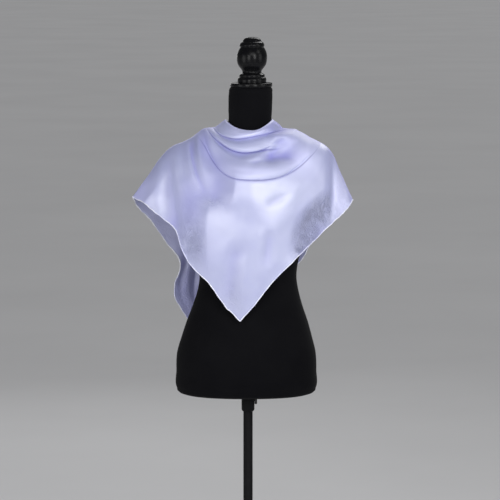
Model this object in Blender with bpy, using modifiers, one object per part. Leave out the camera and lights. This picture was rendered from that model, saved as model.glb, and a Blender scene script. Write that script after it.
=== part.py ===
"""A silk scarf, a square folded to a triangle, worn over a limbless dress form on a pole stand.

Metres, +Z up. The front faces -Y and +X is at the right of someone who looks at the front.
The origin is the middle of the base's underside.
"""

import math
from collections import namedtuple

import bmesh
import bpy
import numpy as np
from mathutils import Vector
from mathutils.bvhtree import BVHTree

# Gap between pieces that touch.
GAP = 0.0003

# Stand.
BASE_RADIUS = 0.18
BASE_RIM = 0.005
BASE_CROWN = 0.012
HUB_RADIUS = 0.026
HUB_HEIGHT = 0.032
HUB_EDGE = 0.003
HUB_FOOT_HEIGHT = 0.004
HUB_FOOT_WIDTH = 0.006
BASE_SHOULDER = 0.012
BASE_EDGE = 0.002
SOCKET_FLOOR = 0.004
POLE_RADIUS = 0.0115
POLE_TOP = 1.02
ROUND_STEPS = 40
BASE_STEPS = 48
FINIAL_STEPS = 24

# Collar and the thumb screw that clamps it to the pole.
COLLAR_RADIUS = 0.0155
COLLAR_BOTTOM = 0.632
COLLAR_CHAMFER = 0.004
COLLAR_CHAMFER_WIDTH = 0.002
COLLAR_EDGE = 0.001
SCREW_HEIGHT = 0.655
SCREW_RADIUS = 0.0025
KNOB_RADIUS = 0.010
KNOB_START = 0.0163
KNOB_END = 0.0225
KNOB_EDGE = 0.0015
KNOB_TAPER_HEIGHT = 0.0012
KNOB_TAPER_WIDTH = 0.0025
KNOB_STEPS = 20
SCREW_STEPS = 16
HOLE_LENGTH = 0.02

# Form.
FORM_BOTTOM = 0.675
BORE_RADIUS = 0.0125
BORE_TOP = 1.24
BORE_BELOW = 0.02
FORM_COLUMNS = 36
Section = namedtuple("Section", "height half_width front back middle squareness")
FORM = [
    Section(0.6750, 0.1550, 0.100, 0.100, -0.004, 2.3),
    Section(0.6785, 0.1655, 0.110, 0.110, -0.004, 2.3),
    Section(0.6880, 0.1710, 0.115, 0.116, -0.004, 2.3),
    Section(0.7300, 0.1725, 0.116, 0.120, -0.004, 2.3),
    Section(0.7750, 0.1705, 0.115, 0.121, -0.004, 2.3),
    Section(0.8150, 0.1600, 0.110, 0.116, -0.003, 2.3),
    Section(0.8500, 0.1495, 0.103, 0.107, -0.002, 2.3),
    Section(0.8950, 0.1335, 0.096, 0.095, -0.001, 2.2),
    Section(0.9300, 0.1235, 0.091, 0.088, 0.000, 2.2),
    Section(0.9600, 0.1190, 0.089, 0.085, 0.000, 2.2),
    Section(0.9950, 0.1220, 0.094, 0.088, 0.000, 2.2),
    Section(1.0450, 0.1340, 0.105, 0.096, 0.001, 2.3),
    Section(1.0900, 0.1460, 0.119, 0.102, 0.001, 2.4),
    Section(1.1250, 0.1530, 0.122, 0.105, 0.002, 2.4),
    Section(1.1650, 0.1590, 0.112, 0.107, 0.003, 2.4),
    Section(1.2050, 0.1690, 0.098, 0.106, 0.004, 2.4),
    Section(1.2350, 0.1730, 0.084, 0.096, 0.004, 2.3),
    Section(1.2550, 0.1680, 0.072, 0.083, 0.005, 2.2),
    Section(1.2730, 0.1440, 0.063, 0.072, 0.005, 2.1),
    Section(1.2900, 0.1120, 0.058, 0.065, 0.005, 2.1),
    Section(1.3060, 0.0820, 0.055, 0.060, 0.005, 2.0),
    Section(1.3220, 0.0620, 0.053, 0.057, 0.005, 2.0),
    Section(1.3400, 0.0540, 0.052, 0.055, 0.005, 2.0),
    Section(1.3750, 0.0530, 0.0515, 0.0535, 0.0055, 2.0),
    Section(1.4150, 0.0520, 0.0505, 0.0525, 0.0065, 2.0),
    Section(1.4230, 0.0490, 0.0480, 0.0495, 0.0070, 2.0),
]

# Neck cap and finial, a little to the right of the pole, as the neck is.
CAP_MIDDLE = 0.0080
FINIAL_MIDDLE = 0.0095
CAP_RADIUS = 0.051
CAP_THICKNESS = 0.0095
CAP_EDGE = 0.0015
Turning = namedtuple("Turning", "height radius")
FINIAL = [
    Turning(0.1120, 0.0100),
    Turning(0.1105, 0.0165),
    Turning(0.1050, 0.0215),
    Turning(0.1000, 0.0240),
    Turning(0.0985, 0.0272),
    Turning(0.0950, 0.0290),
    Turning(0.0890, 0.0302),
    Turning(0.0865, 0.0290),
    Turning(0.0850, 0.0300),
    Turning(0.0760, 0.0345),
    Turning(0.0610, 0.0370),
    Turning(0.0490, 0.0357),
    Turning(0.0370, 0.0296),
    Turning(0.0310, 0.0250),
    Turning(0.0270, 0.0232),
    Turning(0.0235, 0.0245),
    Turning(0.0215, 0.0290),
    Turning(0.0180, 0.0310),
    Turning(0.0140, 0.0318),
    Turning(0.0125, 0.0335),
    Turning(0.0065, 0.0350),
    Turning(0.0000, 0.0350),
]

# Cloth.
CLOTH_WALL = 0.0012
HEM_WALL = 0.0024
CLEARANCE = 0.0009
FACE_CLEARANCE = 0.0006
SETTLE_ROUNDS = 5
SETTLE_SHARE = 0.6
SETTLE_PLACES = (0.25, 0.5, 0.75)
SIDE_FADE = 0.12
SIDE_DEPTH = 0.06
FRONT_COLUMNS = 32
CORNER_REACH = 0.6
FOLD_ROW_SPACING = 0.009
FLAT_ROW_SPACING = 0.019
HEM_WIDTH = 0.004
END_COLUMNS = 18
END_ROW_STEP = 2
END_SPACING = 1.1
SHOULDER_KEPT = 0.75
PLEAT_RISE = 0.25
PLEAT_LAST = 0.68
PLEAT_FALL = 0.24

# Lines across the front. Each runs from the left shoulder, down to its lowest place and up to
# the right shoulder. out is how far its lowest place lies in front of the pole, bow how square it
# is from above, and each hang how sharply that half bends from in front: 1 is straight.
Swag = namedtuple(
    "Swag", "low_x low_z out left_x left_z right_x right_z bow left_hang right_hang"
)
SWAGS = {
    "neck_rim": Swag(0.013, 1.3260, 0.0640, -0.0560, 1.3480, 0.0610, 1.3480, 2.0, 2.8, 1.6),
    "neck_band": Swag(-0.004, 1.3180, 0.0735, -0.0660, 1.3400, 0.0750, 1.3370, 2.0, 2.8, 1.4),
    "band_fold": Swag(-0.022, 1.3075, 0.0765, -0.0790, 1.3300, 0.0840, 1.3275, 2.0, 2.8, 1.15),
    "band_tuck": Swag(-0.022, 1.3140, 0.0680, -0.0815, 1.3285, 0.0860, 1.3260, 2.0, 2.8, 1.15),
    "band_leave": Swag(-0.022, 1.3055, 0.0665, -0.0845, 1.3275, 0.0890, 1.3250, 2.0, 2.8, 1.2),
    "collar_roll": Swag(-0.016, 1.2920, 0.0850, -0.0900, 1.3285, 0.0990, 1.3260, 2.0, 2.4, 1.5),
    "collar_fold": Swag(-0.007, 1.2755, 0.0905, -0.0970, 1.3285, 0.1150, 1.3255, 2.0, 2.1, 1.8),
    "collar_tuck": Swag(-0.006, 1.2825, 0.0805, -0.0995, 1.3275, 0.1180, 1.3245, 2.0, 2.1, 1.9),
    "collar_leave": Swag(-0.005, 1.2735, 0.0790, -0.1030, 1.3270, 0.1235, 1.3220, 2.0, 2.1, 2.0),
    "swag_top": Swag(0.005, 1.2570, 0.1010, -0.1100, 1.3270, 0.1350, 1.3160, 2.0, 2.3, 2.4),
    "swag_face": Swag(0.012, 1.2330, 0.1210, -0.1210, 1.3200, 0.1530, 1.3050, 2.0, 2.6, 2.6),
    "swag_fold": Swag(0.016, 1.2130, 0.1245, -0.1275, 1.3140, 0.1680, 1.2980, 2.0, 2.7, 2.7),
    "swag_tuck": Swag(0.017, 1.2205, 0.1140, -0.1300, 1.3105, 0.1710, 1.2955, 2.0, 2.7, 2.7),
    "swag_leave": Swag(0.017, 1.2100, 0.1125, -0.1335, 1.3070, 0.1755, 1.2925, 2.0, 2.6, 2.6),
    "chest": Swag(0.015, 1.1870, 0.1270, -0.1400, 1.3025, 0.1820, 1.2900, 2.0, 2.4, 2.4),
    "breast": Swag(0.008, 1.1450, 0.1345, -0.1580, 1.2945, 0.1950, 1.2800, 2.0, 2.1, 2.1),
    "bust": Swag(0.002, 1.0880, 0.1390, -0.1850, 1.2830, 0.2070, 1.2640, 1.9, 1.8, 1.8),
    "ribs": Swag(-0.005, 1.0250, 0.1380, -0.2150, 1.2530, 0.2220, 1.2300, 1.8, 1.5, 1.5),
    "waist": Swag(-0.012, 0.9590, 0.1350, -0.2440, 1.2110, 0.2380, 1.1930, 1.65, 1.3, 1.3),
    "hem": Swag(-0.019, 0.8720, 0.1270, -0.2810, 1.1590, 0.2560, 1.1520, 1.5, 1.05, 1.05),
}

# Where each tuck under a fold fades out, from 0 at the middle to 1 at the shoulder.
Tuck = namedtuple("Tuck", "left_from left_to right_from right_to")
TUCKS = {
    "band_tuck": Tuck(0.70, 1.0, 0.70, 1.0),
    "collar_tuck": Tuck(0.70, 1.0, 0.22, 0.50),
    "swag_tuck": Tuck(0.66, 0.95, 0.58, 0.88),
}

# Outline of the front hem, left to right, with how far it lies in front of the pole.
HemPoint = namedtuple("HemPoint", "x z out")
FRONT_HEM = [
    HemPoint(-0.281, 1.159, 0.000),
    HemPoint(-0.252, 1.148, 0.036),
    HemPoint(-0.218, 1.122, 0.060),
    HemPoint(-0.182, 1.096, 0.074),
    HemPoint(-0.172, 1.082, 0.082),
    HemPoint(-0.161, 1.047, 0.098),
    HemPoint(-0.142, 1.009, 0.108),
    HemPoint(-0.122, 0.989, 0.113),
    HemPoint(-0.094, 0.962, 0.118),
    HemPoint(-0.074, 0.935, 0.121),
    HemPoint(-0.052, 0.903, 0.124),
    HemPoint(-0.019, 0.872, 0.127),
    HemPoint(0.019, 0.914, 0.126),
    HemPoint(0.044, 0.948, 0.124),
    HemPoint(0.077, 0.985, 0.121),
    HemPoint(0.098, 1.004, 0.118),
    HemPoint(0.139, 1.044, 0.110),
    HemPoint(0.161, 1.065, 0.102),
    HemPoint(0.197, 1.097, 0.084),
    HemPoint(0.210, 1.110, 0.074),
    HemPoint(0.232, 1.125, 0.050),
    HemPoint(0.250, 1.145, 0.024),
    HemPoint(0.256, 1.152, 0.000),
]
HEM_SHIFT_UP = {"ribs": 0.12, "waist": 0.42, "hem": 1.0}

# Folds of the silk, each on a curve through three places seen from in front. left and right are
# its widths on its two sides, for a fold that runs down. A round fold is a soft ridge, or a
# valley where depth is below 0. A crisp one has a sharp top. A slope drops the silk on its right
# side and it stays down. All move the silk forwards along a line tipped up from level.
FOLD_TILT = math.radians(7)
Fold = namedtuple("Fold", "x1 z1 x2 z2 x3 z3 left right depth")
ROUND_FOLDS = {
    "left_flap_valley": Fold(-0.194, 1.315, -0.187, 1.181, -0.168, 1.040, 0.014, 0.018, -0.0110),
    "left_flap_ridge": Fold(-0.222, 1.290, -0.236, 1.185, -0.240, 1.100, 0.018, 0.026, 0.0150),
    "left_outer_hollow": Fold(-0.166, 1.320, -0.158, 1.250, -0.150, 1.180, 0.012, 0.014, -0.0040),
    "pocket": Fold(0.040, 1.262, 0.090, 1.264, 0.160, 1.252, 0.018, 0.036, -0.0240),
    "pocket_brow": Fold(0.030, 1.312, 0.092, 1.318, 0.160, 1.305, 0.014, 0.014, 0.0100),
    "right_flap_valley": Fold(0.205, 1.300, 0.203, 1.194, 0.197, 1.078, 0.014, 0.012, -0.0090),
    "right_flap_ridge": Fold(0.222, 1.262, 0.224, 1.190, 0.220, 1.120, 0.014, 0.012, 0.0070),
    "lower_valley": Fold(-0.020, 1.078, -0.040, 0.983, -0.052, 0.870, 0.018, 0.026, -0.0055),
    "lower_right_valley": Fold(0.057, 1.097, 0.048, 1.043, 0.042, 0.974, 0.014, 0.014, -0.0040),
}
CRISP_FOLDS = {
    "left_front_edge": Fold(-0.038, 1.270, -0.031, 1.198, -0.050, 1.122, 0.048, 0.110, 0.0135),
    "left_panel_edge": Fold(-0.084, 1.184, -0.101, 1.079, -0.082, 0.926, 0.045, 0.060, 0.0085),
}
SLOPES = {
    "right_facet": Fold(0.222, 1.232, 0.150, 1.156, 0.106, 0.985, 0.000, 0.075, 0.0560),
}
Hollow = namedtuple("Hollow", "x z width height depth")
HOLLOWS = {
    "left_facet": Hollow(-0.095, 1.178, 0.045, 0.045, 0.0090),
    "swag_left": Hollow(-0.075, 1.262, 0.034, 0.026, 0.0060),
}
ROUND_RISE = 0.30
ROUND_FALL = 0.45
CRISP_RISE = 0.30
CRISP_FALL = 0.40
CRISP_POWER = 1.7
FOLD_POINTS = 16

# Ends thrown back over the shoulders: the folded edge and the hem, from shoulder to tip.
EdgePoint = namedtuple("EdgePoint", "along x y z")
LEFT_FOLDED_EDGE = [
    EdgePoint(0.00, -0.0560, 0.000, 1.3480),
    EdgePoint(0.07, -0.0570, 0.030, 1.3430),
    EdgePoint(0.18, -0.0590, 0.068, 1.3050),
    EdgePoint(0.33, -0.0580, 0.101, 1.2250),
    EdgePoint(0.50, -0.0560, 0.118, 1.1150),
    EdgePoint(0.68, -0.0660, 0.124, 0.9950),
    EdgePoint(0.84, -0.0860, 0.130, 0.8950),
    EdgePoint(1.00, -0.1060, 0.136, 0.7960),
]
LEFT_BACK_HEM = [
    EdgePoint(0.00, -0.2810, 0.000, 1.1590),
    EdgePoint(0.07, -0.2730, 0.026, 1.1370),
    EdgePoint(0.20, -0.2360, 0.058, 1.0900),
    EdgePoint(0.34, -0.2030, 0.079, 1.0390),
    EdgePoint(0.47, -0.1720, 0.090, 0.9960),
    EdgePoint(0.55, -0.1680, 0.094, 0.9730),
    EdgePoint(0.68, -0.1820, 0.100, 0.9280),
    EdgePoint(0.79, -0.1800, 0.109, 0.8920),
    EdgePoint(0.90, -0.1530, 0.122, 0.8440),
    EdgePoint(1.00, -0.1220, 0.134, 0.7900),
]
RIGHT_FOLDED_EDGE = [
    EdgePoint(0.00, 0.0610, 0.000, 1.3480),
    EdgePoint(0.07, 0.0620, 0.030, 1.3430),
    EdgePoint(0.18, 0.0620, 0.068, 1.3050),
    EdgePoint(0.33, 0.0520, 0.103, 1.2250),
    EdgePoint(0.50, 0.0400, 0.120, 1.1150),
    EdgePoint(0.68, 0.0240, 0.126, 0.9950),
    EdgePoint(0.84, 0.0160, 0.130, 0.9000),
    EdgePoint(1.00, 0.0120, 0.134, 0.8060),
]
RIGHT_BACK_HEM = [
    EdgePoint(0.00, 0.2560, 0.000, 1.1520),
    EdgePoint(0.07, 0.2460, 0.026, 1.1360),
    EdgePoint(0.22, 0.2020, 0.060, 1.0960),
    EdgePoint(0.38, 0.1640, 0.084, 1.0540),
    EdgePoint(0.52, 0.1380, 0.098, 1.0120),
    EdgePoint(0.64, 0.1240, 0.106, 0.9680),
    EdgePoint(0.76, 0.1060, 0.114, 0.9200),
    EdgePoint(0.88, 0.0680, 0.124, 0.8580),
    EdgePoint(1.00, 0.0280, 0.134, 0.8000),
]

# Pleats that hang down each end: place is 0 at the folded edge and 1 at the hem.
Pleat = namedtuple("Pleat", "place width depth start")
LEFT_PLEATS = [
    Pleat(0.16, 0.070, 0.010, 0.10),
    Pleat(0.36, 0.060, -0.007, 0.15),
    Pleat(0.55, 0.075, 0.008, 0.10),
    Pleat(0.72, 0.060, -0.003, 0.30),
    Pleat(0.86, 0.080, 0.005, 0.35),
]
RIGHT_PLEATS = [
    Pleat(0.14, 0.060, 0.009, 0.10),
    Pleat(0.33, 0.070, -0.006, 0.20),
    Pleat(0.52, 0.060, 0.011, 0.10),
    Pleat(0.70, 0.060, -0.007, 0.25),
    Pleat(0.85, 0.055, 0.008, 0.20),
]


def clear_scene():
    for obj in list(bpy.data.objects):
        bpy.data.objects.remove(obj, do_unlink=True)


def collection(name):
    made = bpy.data.collections.new(name)
    bpy.context.scene.collection.children.link(made)
    return made


def material(name, colour, roughness, metallic=0.0):
    made = bpy.data.materials.new(name)
    made.use_nodes = True
    shader = made.node_tree.nodes["Principled BSDF"]
    shader.inputs["Base Color"].default_value = (*colour, 1.0)
    shader.inputs["Roughness"].default_value = roughness
    shader.inputs["Metallic"].default_value = metallic
    return made


def new_object(name, mesh, group, surface=None):
    obj = bpy.data.objects.new(name, mesh)
    group.objects.link(obj)
    if surface:
        mesh.materials.append(surface)
    return obj


def turned(name, profile, group, surface, steps=ROUND_STEPS):
    """A solid turned about Z from (radius, height) points that run down its outer side."""
    mesh = bpy.data.meshes.new(name)
    points = [(radius, 0.0, height) for radius, height in profile]
    edges = [(i, i + 1) for i in range(len(points) - 1)]
    if profile[0][0] > 0:
        edges.append((len(points) - 1, 0))
    mesh.from_pydata(points, edges, [])
    obj = new_object(name, mesh, group, surface)
    screw = obj.modifiers.new("turn", "SCREW")
    screw.steps = steps
    screw.render_steps = steps
    screw.use_merge_vertices = True
    screw.merge_threshold = 0.00001
    screw.use_smooth_shade = True
    return obj


def cylinder(name, radius, bottom, top, group, surface=None, steps=ROUND_STEPS):
    shape = bmesh.new()
    bmesh.ops.create_cone(
        shape, cap_ends=True, segments=steps, radius1=radius, radius2=radius, depth=top - bottom
    )
    mesh = bpy.data.meshes.new(name)
    shape.to_mesh(mesh)
    shape.free()
    mesh.shade_smooth()
    mesh.set_sharp_from_angle(angle=math.radians(40))
    obj = new_object(name, mesh, group, surface)
    obj.location.z = (top + bottom) / 2
    return obj


def cut(obj, cutter):
    cutter.hide_render = True
    cutter.display_type = "WIRE"
    boolean = obj.modifiers.new("cut", "BOOLEAN")
    boolean.operation = "DIFFERENCE"
    boolean.object = cutter


def smooth_through(points, fractions):
    """A smooth curve through rows of points, read at fractions counted in rows."""
    last = len(points) - 1
    low = np.clip(np.floor(fractions).astype(int), 0, last - 1)
    part = (fractions - low).reshape(-1, *([1] * (points.ndim - 1)))
    before = points[np.maximum(low - 1, 0)]
    start = points[low]
    end = points[low + 1]
    after = points[np.minimum(low + 2, last)]
    step = end - start
    step_before = np.where((low > 0).reshape(part.shape), start - before, step)
    step_after = np.where((low < last - 1).reshape(part.shape), after - end, step)
    size = np.linalg.norm(step, axis=-1, keepdims=True) + 1e-9
    size_before = np.linalg.norm(step_before, axis=-1, keepdims=True) + 1e-9
    size_after = np.linalg.norm(step_after, axis=-1, keepdims=True) + 1e-9
    leave = (step / size * size_before + step_before / size_before * size) / (size + size_before)
    arrive = (step / size * size_after + step_after / size_after * size) / (size + size_after)
    leave = leave * size
    arrive = arrive * size
    return (
        (2 * part**3 - 3 * part**2 + 1) * start
        + (part**3 - 2 * part**2 + part) * leave
        + (3 * part**2 - 2 * part**3) * end
        + (part**3 - part**2) * arrive
    )


def grid_mesh(name, points, closed_round=False):
    """A mesh of quads over rows of points, whose faces look outwards."""
    rows, columns = points.shape[:2]
    mesh = bpy.data.meshes.new(name)
    shape = bmesh.new()
    made = [[shape.verts.new(Vector(p)) for p in row] for row in points]
    span = columns if closed_round else columns - 1
    for i in range(rows - 1):
        for j in range(span):
            k = (j + 1) % columns
            shape.faces.new((made[i][j], made[i + 1][j], made[i + 1][k], made[i][k]))
    if closed_round:
        shape.faces.new(made[0])
        shape.faces.new(list(reversed(made[-1])))
        bmesh.ops.recalc_face_normals(shape, faces=shape.faces)
    shape.to_mesh(mesh)
    shape.free()
    mesh.shade_smooth()
    return mesh


def form_points():
    """Rings round the form, from its underside to the top of its neck."""
    table = np.array(FORM)
    heights, half_width, front, back, middle, squareness = table.T
    angle = np.arange(FORM_COLUMNS) / FORM_COLUMNS * 2 * math.pi
    power = 2 / squareness[:, None]
    across = np.sign(np.cos(angle)) * np.abs(np.cos(angle)) ** power
    deep = np.sign(np.sin(angle)) * np.abs(np.sin(angle)) ** power
    depth = np.where(np.sin(angle) > 0, back[:, None], front[:, None])
    x = middle[:, None] + half_width[:, None] * across
    y = depth * deep
    z = np.broadcast_to(heights[:, None], x.shape)
    return np.stack([x, y, z], axis=-1)


def smooth_column(table, column):
    """One column of a table as a smooth function of its first column."""
    where = table[:, 0]
    value = table[:, column]
    slope = np.gradient(value, where)

    def read(at):
        low = np.clip(np.searchsorted(where, at) - 1, 0, len(where) - 2)
        width = where[low + 1] - where[low]
        part = (at - where[low]) / width
        return (
            (2 * part**3 - 3 * part**2 + 1) * value[low]
            + (part**3 - 2 * part**2 + part) * slope[low] * width
            + (3 * part**2 - 2 * part**3) * value[low + 1]
            + (part**3 - part**2) * slope[low + 1] * width
        )

    return read


def swag_line(swag, across):
    """Points of one line across the front, for across from -1 at the left to 1 at the right."""
    angle = np.abs(across) * math.pi / 2
    power = 2 / swag.bow
    reach = np.sin(angle) ** power
    side_x = np.where(across < 0, swag.left_x, swag.right_x)
    side_z = np.where(across < 0, swag.left_z, swag.right_z)
    x = swag.low_x + (side_x - swag.low_x) * reach
    y = -swag.out * np.clip(np.cos(angle), 0, 1) ** power
    hang = np.where(across < 0, swag.left_hang, swag.right_hang)
    z = swag.low_z + (side_z - swag.low_z) * reach**hang
    return np.stack([x, y, z], axis=-1)


def front_lines(across):
    """The lines of the front, with the hem's outline worked into the lowest ones."""
    lines = {name: swag_line(swag, across) for name, swag in SWAGS.items()}
    outline = np.array(FRONT_HEM)
    plain = lines["hem"]
    shift_z = np.interp(plain[:, 0], outline[:, 0], outline[:, 1]) - plain[:, 2]
    shift_y = -np.interp(plain[:, 0], outline[:, 0], outline[:, 2]) - plain[:, 1]
    for name, share in HEM_SHIFT_UP.items():
        lines[name][:, 2] += share * shift_z
        lines[name][:, 1] += share * shift_y
    names = list(lines)
    for name, tuck in TUCKS.items():
        index = names.index(name)
        above, below = lines[names[index - 1]], lines[names[index + 2]]
        leave = names[index + 1]
        start = np.where(across < 0, tuck.left_from, tuck.right_from)
        end = np.where(across < 0, tuck.left_to, tuck.right_to)
        fade = smoothstep((np.abs(across) - start) / (end - start))[:, None]
        lines[name] += fade * ((2 * above + below) / 3 - lines[name])
        lines[leave] += fade * ((above + 2 * below) / 3 - lines[leave])
    return np.stack(list(lines.values()))


def row_fractions(lines):
    """Where the cloth's rows lie, counted in lines: close together in the folds at the neck."""
    middle = lines[:, lines.shape[1] // 2]
    lengths = np.linalg.norm(np.diff(middle, axis=0), axis=1)
    first_flat = list(SWAGS).index("chest")
    fractions = [0.0]
    for i, length in enumerate(lengths):
        spacing = FOLD_ROW_SPACING if i < first_flat else FLAT_ROW_SPACING
        steps = max(1, round(length / spacing))
        fractions += [i + (j + 1) / steps for j in range(steps)]
    bead = HEM_WIDTH / lengths[-1]
    last = fractions.pop()
    return np.array(fractions + [last - bead, last])


def normals_of(points):
    down = np.gradient(points, axis=0)
    across = np.gradient(points, axis=1)
    normal = np.cross(down, across)
    return normal / (np.linalg.norm(normal, axis=-1, keepdims=True) + 1e-12)


def smoothstep(value):
    value = np.clip(value, 0, 1)
    return value * value * (3 - 2 * value)


def bent_line(fold):
    """Points on the curve from a fold's start past its middle to its end."""
    t = np.linspace(0, 1, FOLD_POINTS)[:, None]
    start = np.array([[fold.x1, fold.z1]])
    middle = np.array([[fold.x2, fold.z2]])
    end = np.array([[fold.x3, fold.z3]])
    control = 2 * middle - (start + end) / 2
    return (1 - t) ** 2 * start + 2 * t * (1 - t) * control + t**2 * end


def beside(x, z, fold):
    """Each point's distance from a fold's curve, its side of it and its place along it."""
    line = bent_line(fold)
    nearest = np.full(x.shape, np.inf)
    side = np.zeros_like(x)
    along = np.zeros_like(x)
    for i in range(len(line) - 1):
        run = line[i + 1] - line[i]
        length = np.linalg.norm(run)
        run = run / length
        part = np.clip(((x - line[i, 0]) * run[0] + (z - line[i, 1]) * run[1]) / length, 0, 1)
        off_x = x - line[i, 0] - part * length * run[0]
        off_z = z - line[i, 1] - part * length * run[1]
        distance = np.hypot(off_x, off_z)
        closer = distance < nearest
        side = np.where(closer, np.sign(off_z * run[0] - off_x * run[1]), side)
        along = np.where(closer, (i + part) / (len(line) - 1), along)
        nearest = np.where(closer, distance, nearest)
    return nearest, side, along


def fold_depth(x, z, below):
    """How far the folds move each point of the front, the crisp ones only below the swag."""
    total = np.zeros_like(x)
    for fold in CRISP_FOLDS.values():
        nearest, side, along = beside(x, z, fold)
        width = np.where(side < 0, fold.left, fold.right)
        taper = smoothstep(along / CRISP_RISE) * smoothstep((1 - along) / CRISP_FALL)
        total += fold.depth * taper * np.clip(1 - nearest / width, 0, 1) ** CRISP_POWER
    for fold in SLOPES.values():
        nearest, side, along = beside(x, z, fold)
        drop = 1 - np.exp(-nearest / fold.right)
        total -= fold.depth * np.sin(math.pi * along) * drop * (side > 0)
    total *= below
    for fold in ROUND_FOLDS.values():
        nearest, side, along = beside(x, z, fold)
        width = np.where(side < 0, fold.left, fold.right)
        taper = smoothstep(along / ROUND_RISE) * smoothstep((1 - along) / ROUND_FALL)
        total += fold.depth * taper * np.exp(-((nearest / width) ** 2))
    for hollow in HOLLOWS.values():
        spread = ((x - hollow.x) / hollow.width) ** 2 + ((z - hollow.z) / hollow.height) ** 2
        total -= hollow.depth * np.exp(-spread)
    return total


def shortfall(point, tree, clearance):
    """The move that takes a point out to its clearance from the form."""
    near, normal, _, distance = tree.find_nearest(Vector(point))
    height = math.copysign(distance, (Vector(point) - near).dot(normal))
    return np.array(normal) * max(clearance - height, 0)


def neighbours(rows, columns):
    """The two ends of each edge and each diagonal of a grid of points."""
    pairs = []
    for i, j in np.ndindex(rows, columns):
        for down, right in ((0, 1), (1, 0), (1, 1), (1, -1)):
            if i + down < rows and 0 <= j + right < columns:
                pairs.append(((i, j), (i + down, j + right)))
    return pairs


def settle(points, tree):
    """Rests the cloth on the form: first its points, then places between neighbours."""
    for index in np.ndindex(points.shape[:2]):
        points[index] += shortfall(points[index], tree, CLEARANCE)
    pairs = neighbours(*points.shape[:2])
    for _ in range(SETTLE_ROUNDS):
        moves = np.zeros_like(points)
        for a, b in pairs:
            for share in SETTLE_PLACES:
                between = points[a] + (points[b] - points[a]) * share
                move = shortfall(between, tree, FACE_CLEARANCE)
                for corner in (a, b):
                    if move @ move > moves[corner] @ moves[corner]:
                        moves[corner] = move
        points = points + SETTLE_SHARE * moves
    return points


def front_columns():
    """Places across the front: even, but moved onto the corners of the hem's outline."""
    across = np.linspace(-1, 1, FRONT_COLUMNS + 1)
    hem = SWAGS["hem"]
    free = set(range(1, FRONT_COLUMNS))
    for corner in FRONT_HEM[1:-1]:
        left = corner.x < hem.low_x
        reach = (corner.x - hem.low_x) / ((hem.left_x if left else hem.right_x) - hem.low_x)
        place = math.asin(reach ** (hem.bow / 2)) * 2 / math.pi * (-1 if left else 1)
        nearest = min(free, key=lambda i: abs(across[i] - place))
        if abs(across[nearest] - place) < CORNER_REACH * 2 / FRONT_COLUMNS:
            across[nearest] = place
            free.discard(nearest)
    return np.sort(across)


def front_points(tree):
    across = front_columns()
    lines = front_lines(across)
    rows = row_fractions(lines)
    points = smooth_through(lines, rows)
    below = smoothstep(rows - list(SWAGS).index("swag_leave"))[:, None]
    depth = fold_depth(points[..., 0], points[..., 2], below)
    depth *= smoothstep((1 - np.abs(across)) / SIDE_FADE)
    depth *= smoothstep(-points[..., 1] / SIDE_DEPTH)
    points[..., 1] -= depth * math.cos(FOLD_TILT)
    points[..., 2] += depth * math.sin(FOLD_TILT)
    return settle(points, tree)


def edge_curve(table, along):
    rows = np.array(table)
    return np.stack([smooth_column(rows, i)(along) for i in (1, 2, 3)], axis=-1)


def end_points(shoulder, folded_edge, hem, pleats, tree):
    """An end of the scarf, from the shoulder line to its tip, with rows as the front has."""
    along = np.linspace(0, 1, END_COLUMNS + 1) ** END_SPACING
    shoulder = np.concatenate([shoulder[:-2:END_ROW_STEP], shoulder[-1:]])
    inner = edge_curve(folded_edge, along)[None]
    outer = edge_curve(hem, along)[None]
    steps = np.linalg.norm(np.diff(shoulder, axis=0), axis=1)
    place = np.concatenate([[0], np.cumsum(steps)]) / steps.sum()
    place = place[:, None, None]
    straight = inner[:, :1] + (outer[:, :1] - inner[:, :1]) * place
    kept = (1 - smoothstep(along / SHOULDER_KEPT))[None, :, None]
    points = inner + (outer - inner) * place + (shoulder[:, None] - straight) * kept
    depth = np.zeros(points.shape[:2])
    for pleat in pleats:
        bump = np.exp(-(((place[..., 0] - pleat.place) / pleat.width) ** 2))
        rise = smoothstep((along - pleat.start) / PLEAT_RISE)
        rise *= 1 - smoothstep((along - PLEAT_LAST) / PLEAT_FALL)
        depth += pleat.depth * bump * rise
    normal = normals_of(points)
    normal *= np.where(normal[..., 1:2] < 0, -1, 1)
    points = points + normal * depth[..., None]
    return settle(points, tree)


def cloth(name, points, group, surface):
    """A wall of cloth on a grid of points, thicker in its first and last rows."""
    obj = new_object(name, grid_mesh(name, points), group, surface)
    rows, columns = points.shape[:2]
    thick = obj.vertex_groups.new(name="thickness")
    for row in range(rows):
        share = 1.0 if row in (0, rows - 1) else CLOTH_WALL / HEM_WALL
        thick.add(list(range(row * columns, (row + 1) * columns)), share, "REPLACE")
    wall = obj.modifiers.new("wall", "SOLIDIFY")
    wall.thickness = HEM_WALL
    wall.offset = 1.0
    wall.vertex_group = "thickness"
    wall.use_rim = True
    return obj


def base(group, surface):
    profile = [
        (0.0, SOCKET_FLOOR),
        (POLE_RADIUS + GAP, SOCKET_FLOOR),
        (POLE_RADIUS + GAP, HUB_HEIGHT),
        (HUB_RADIUS - HUB_EDGE, HUB_HEIGHT),
        (HUB_RADIUS, HUB_HEIGHT - HUB_EDGE),
        (HUB_RADIUS, BASE_CROWN + HUB_FOOT_HEIGHT),
        (HUB_RADIUS + HUB_FOOT_WIDTH, BASE_CROWN),
        (BASE_RADIUS - BASE_SHOULDER, BASE_RIM + BASE_EDGE / 2),
        (BASE_RADIUS - BASE_EDGE, BASE_RIM),
        (BASE_RADIUS, BASE_RIM - BASE_EDGE),
        (BASE_RADIUS, 0.0),
        (0.0, 0.0),
    ]
    return turned("base", profile, group, surface, BASE_STEPS)


def pole(group, surface):
    return cylinder("pole", POLE_RADIUS, SOCKET_FLOOR + GAP, POLE_TOP, group, surface)


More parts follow.
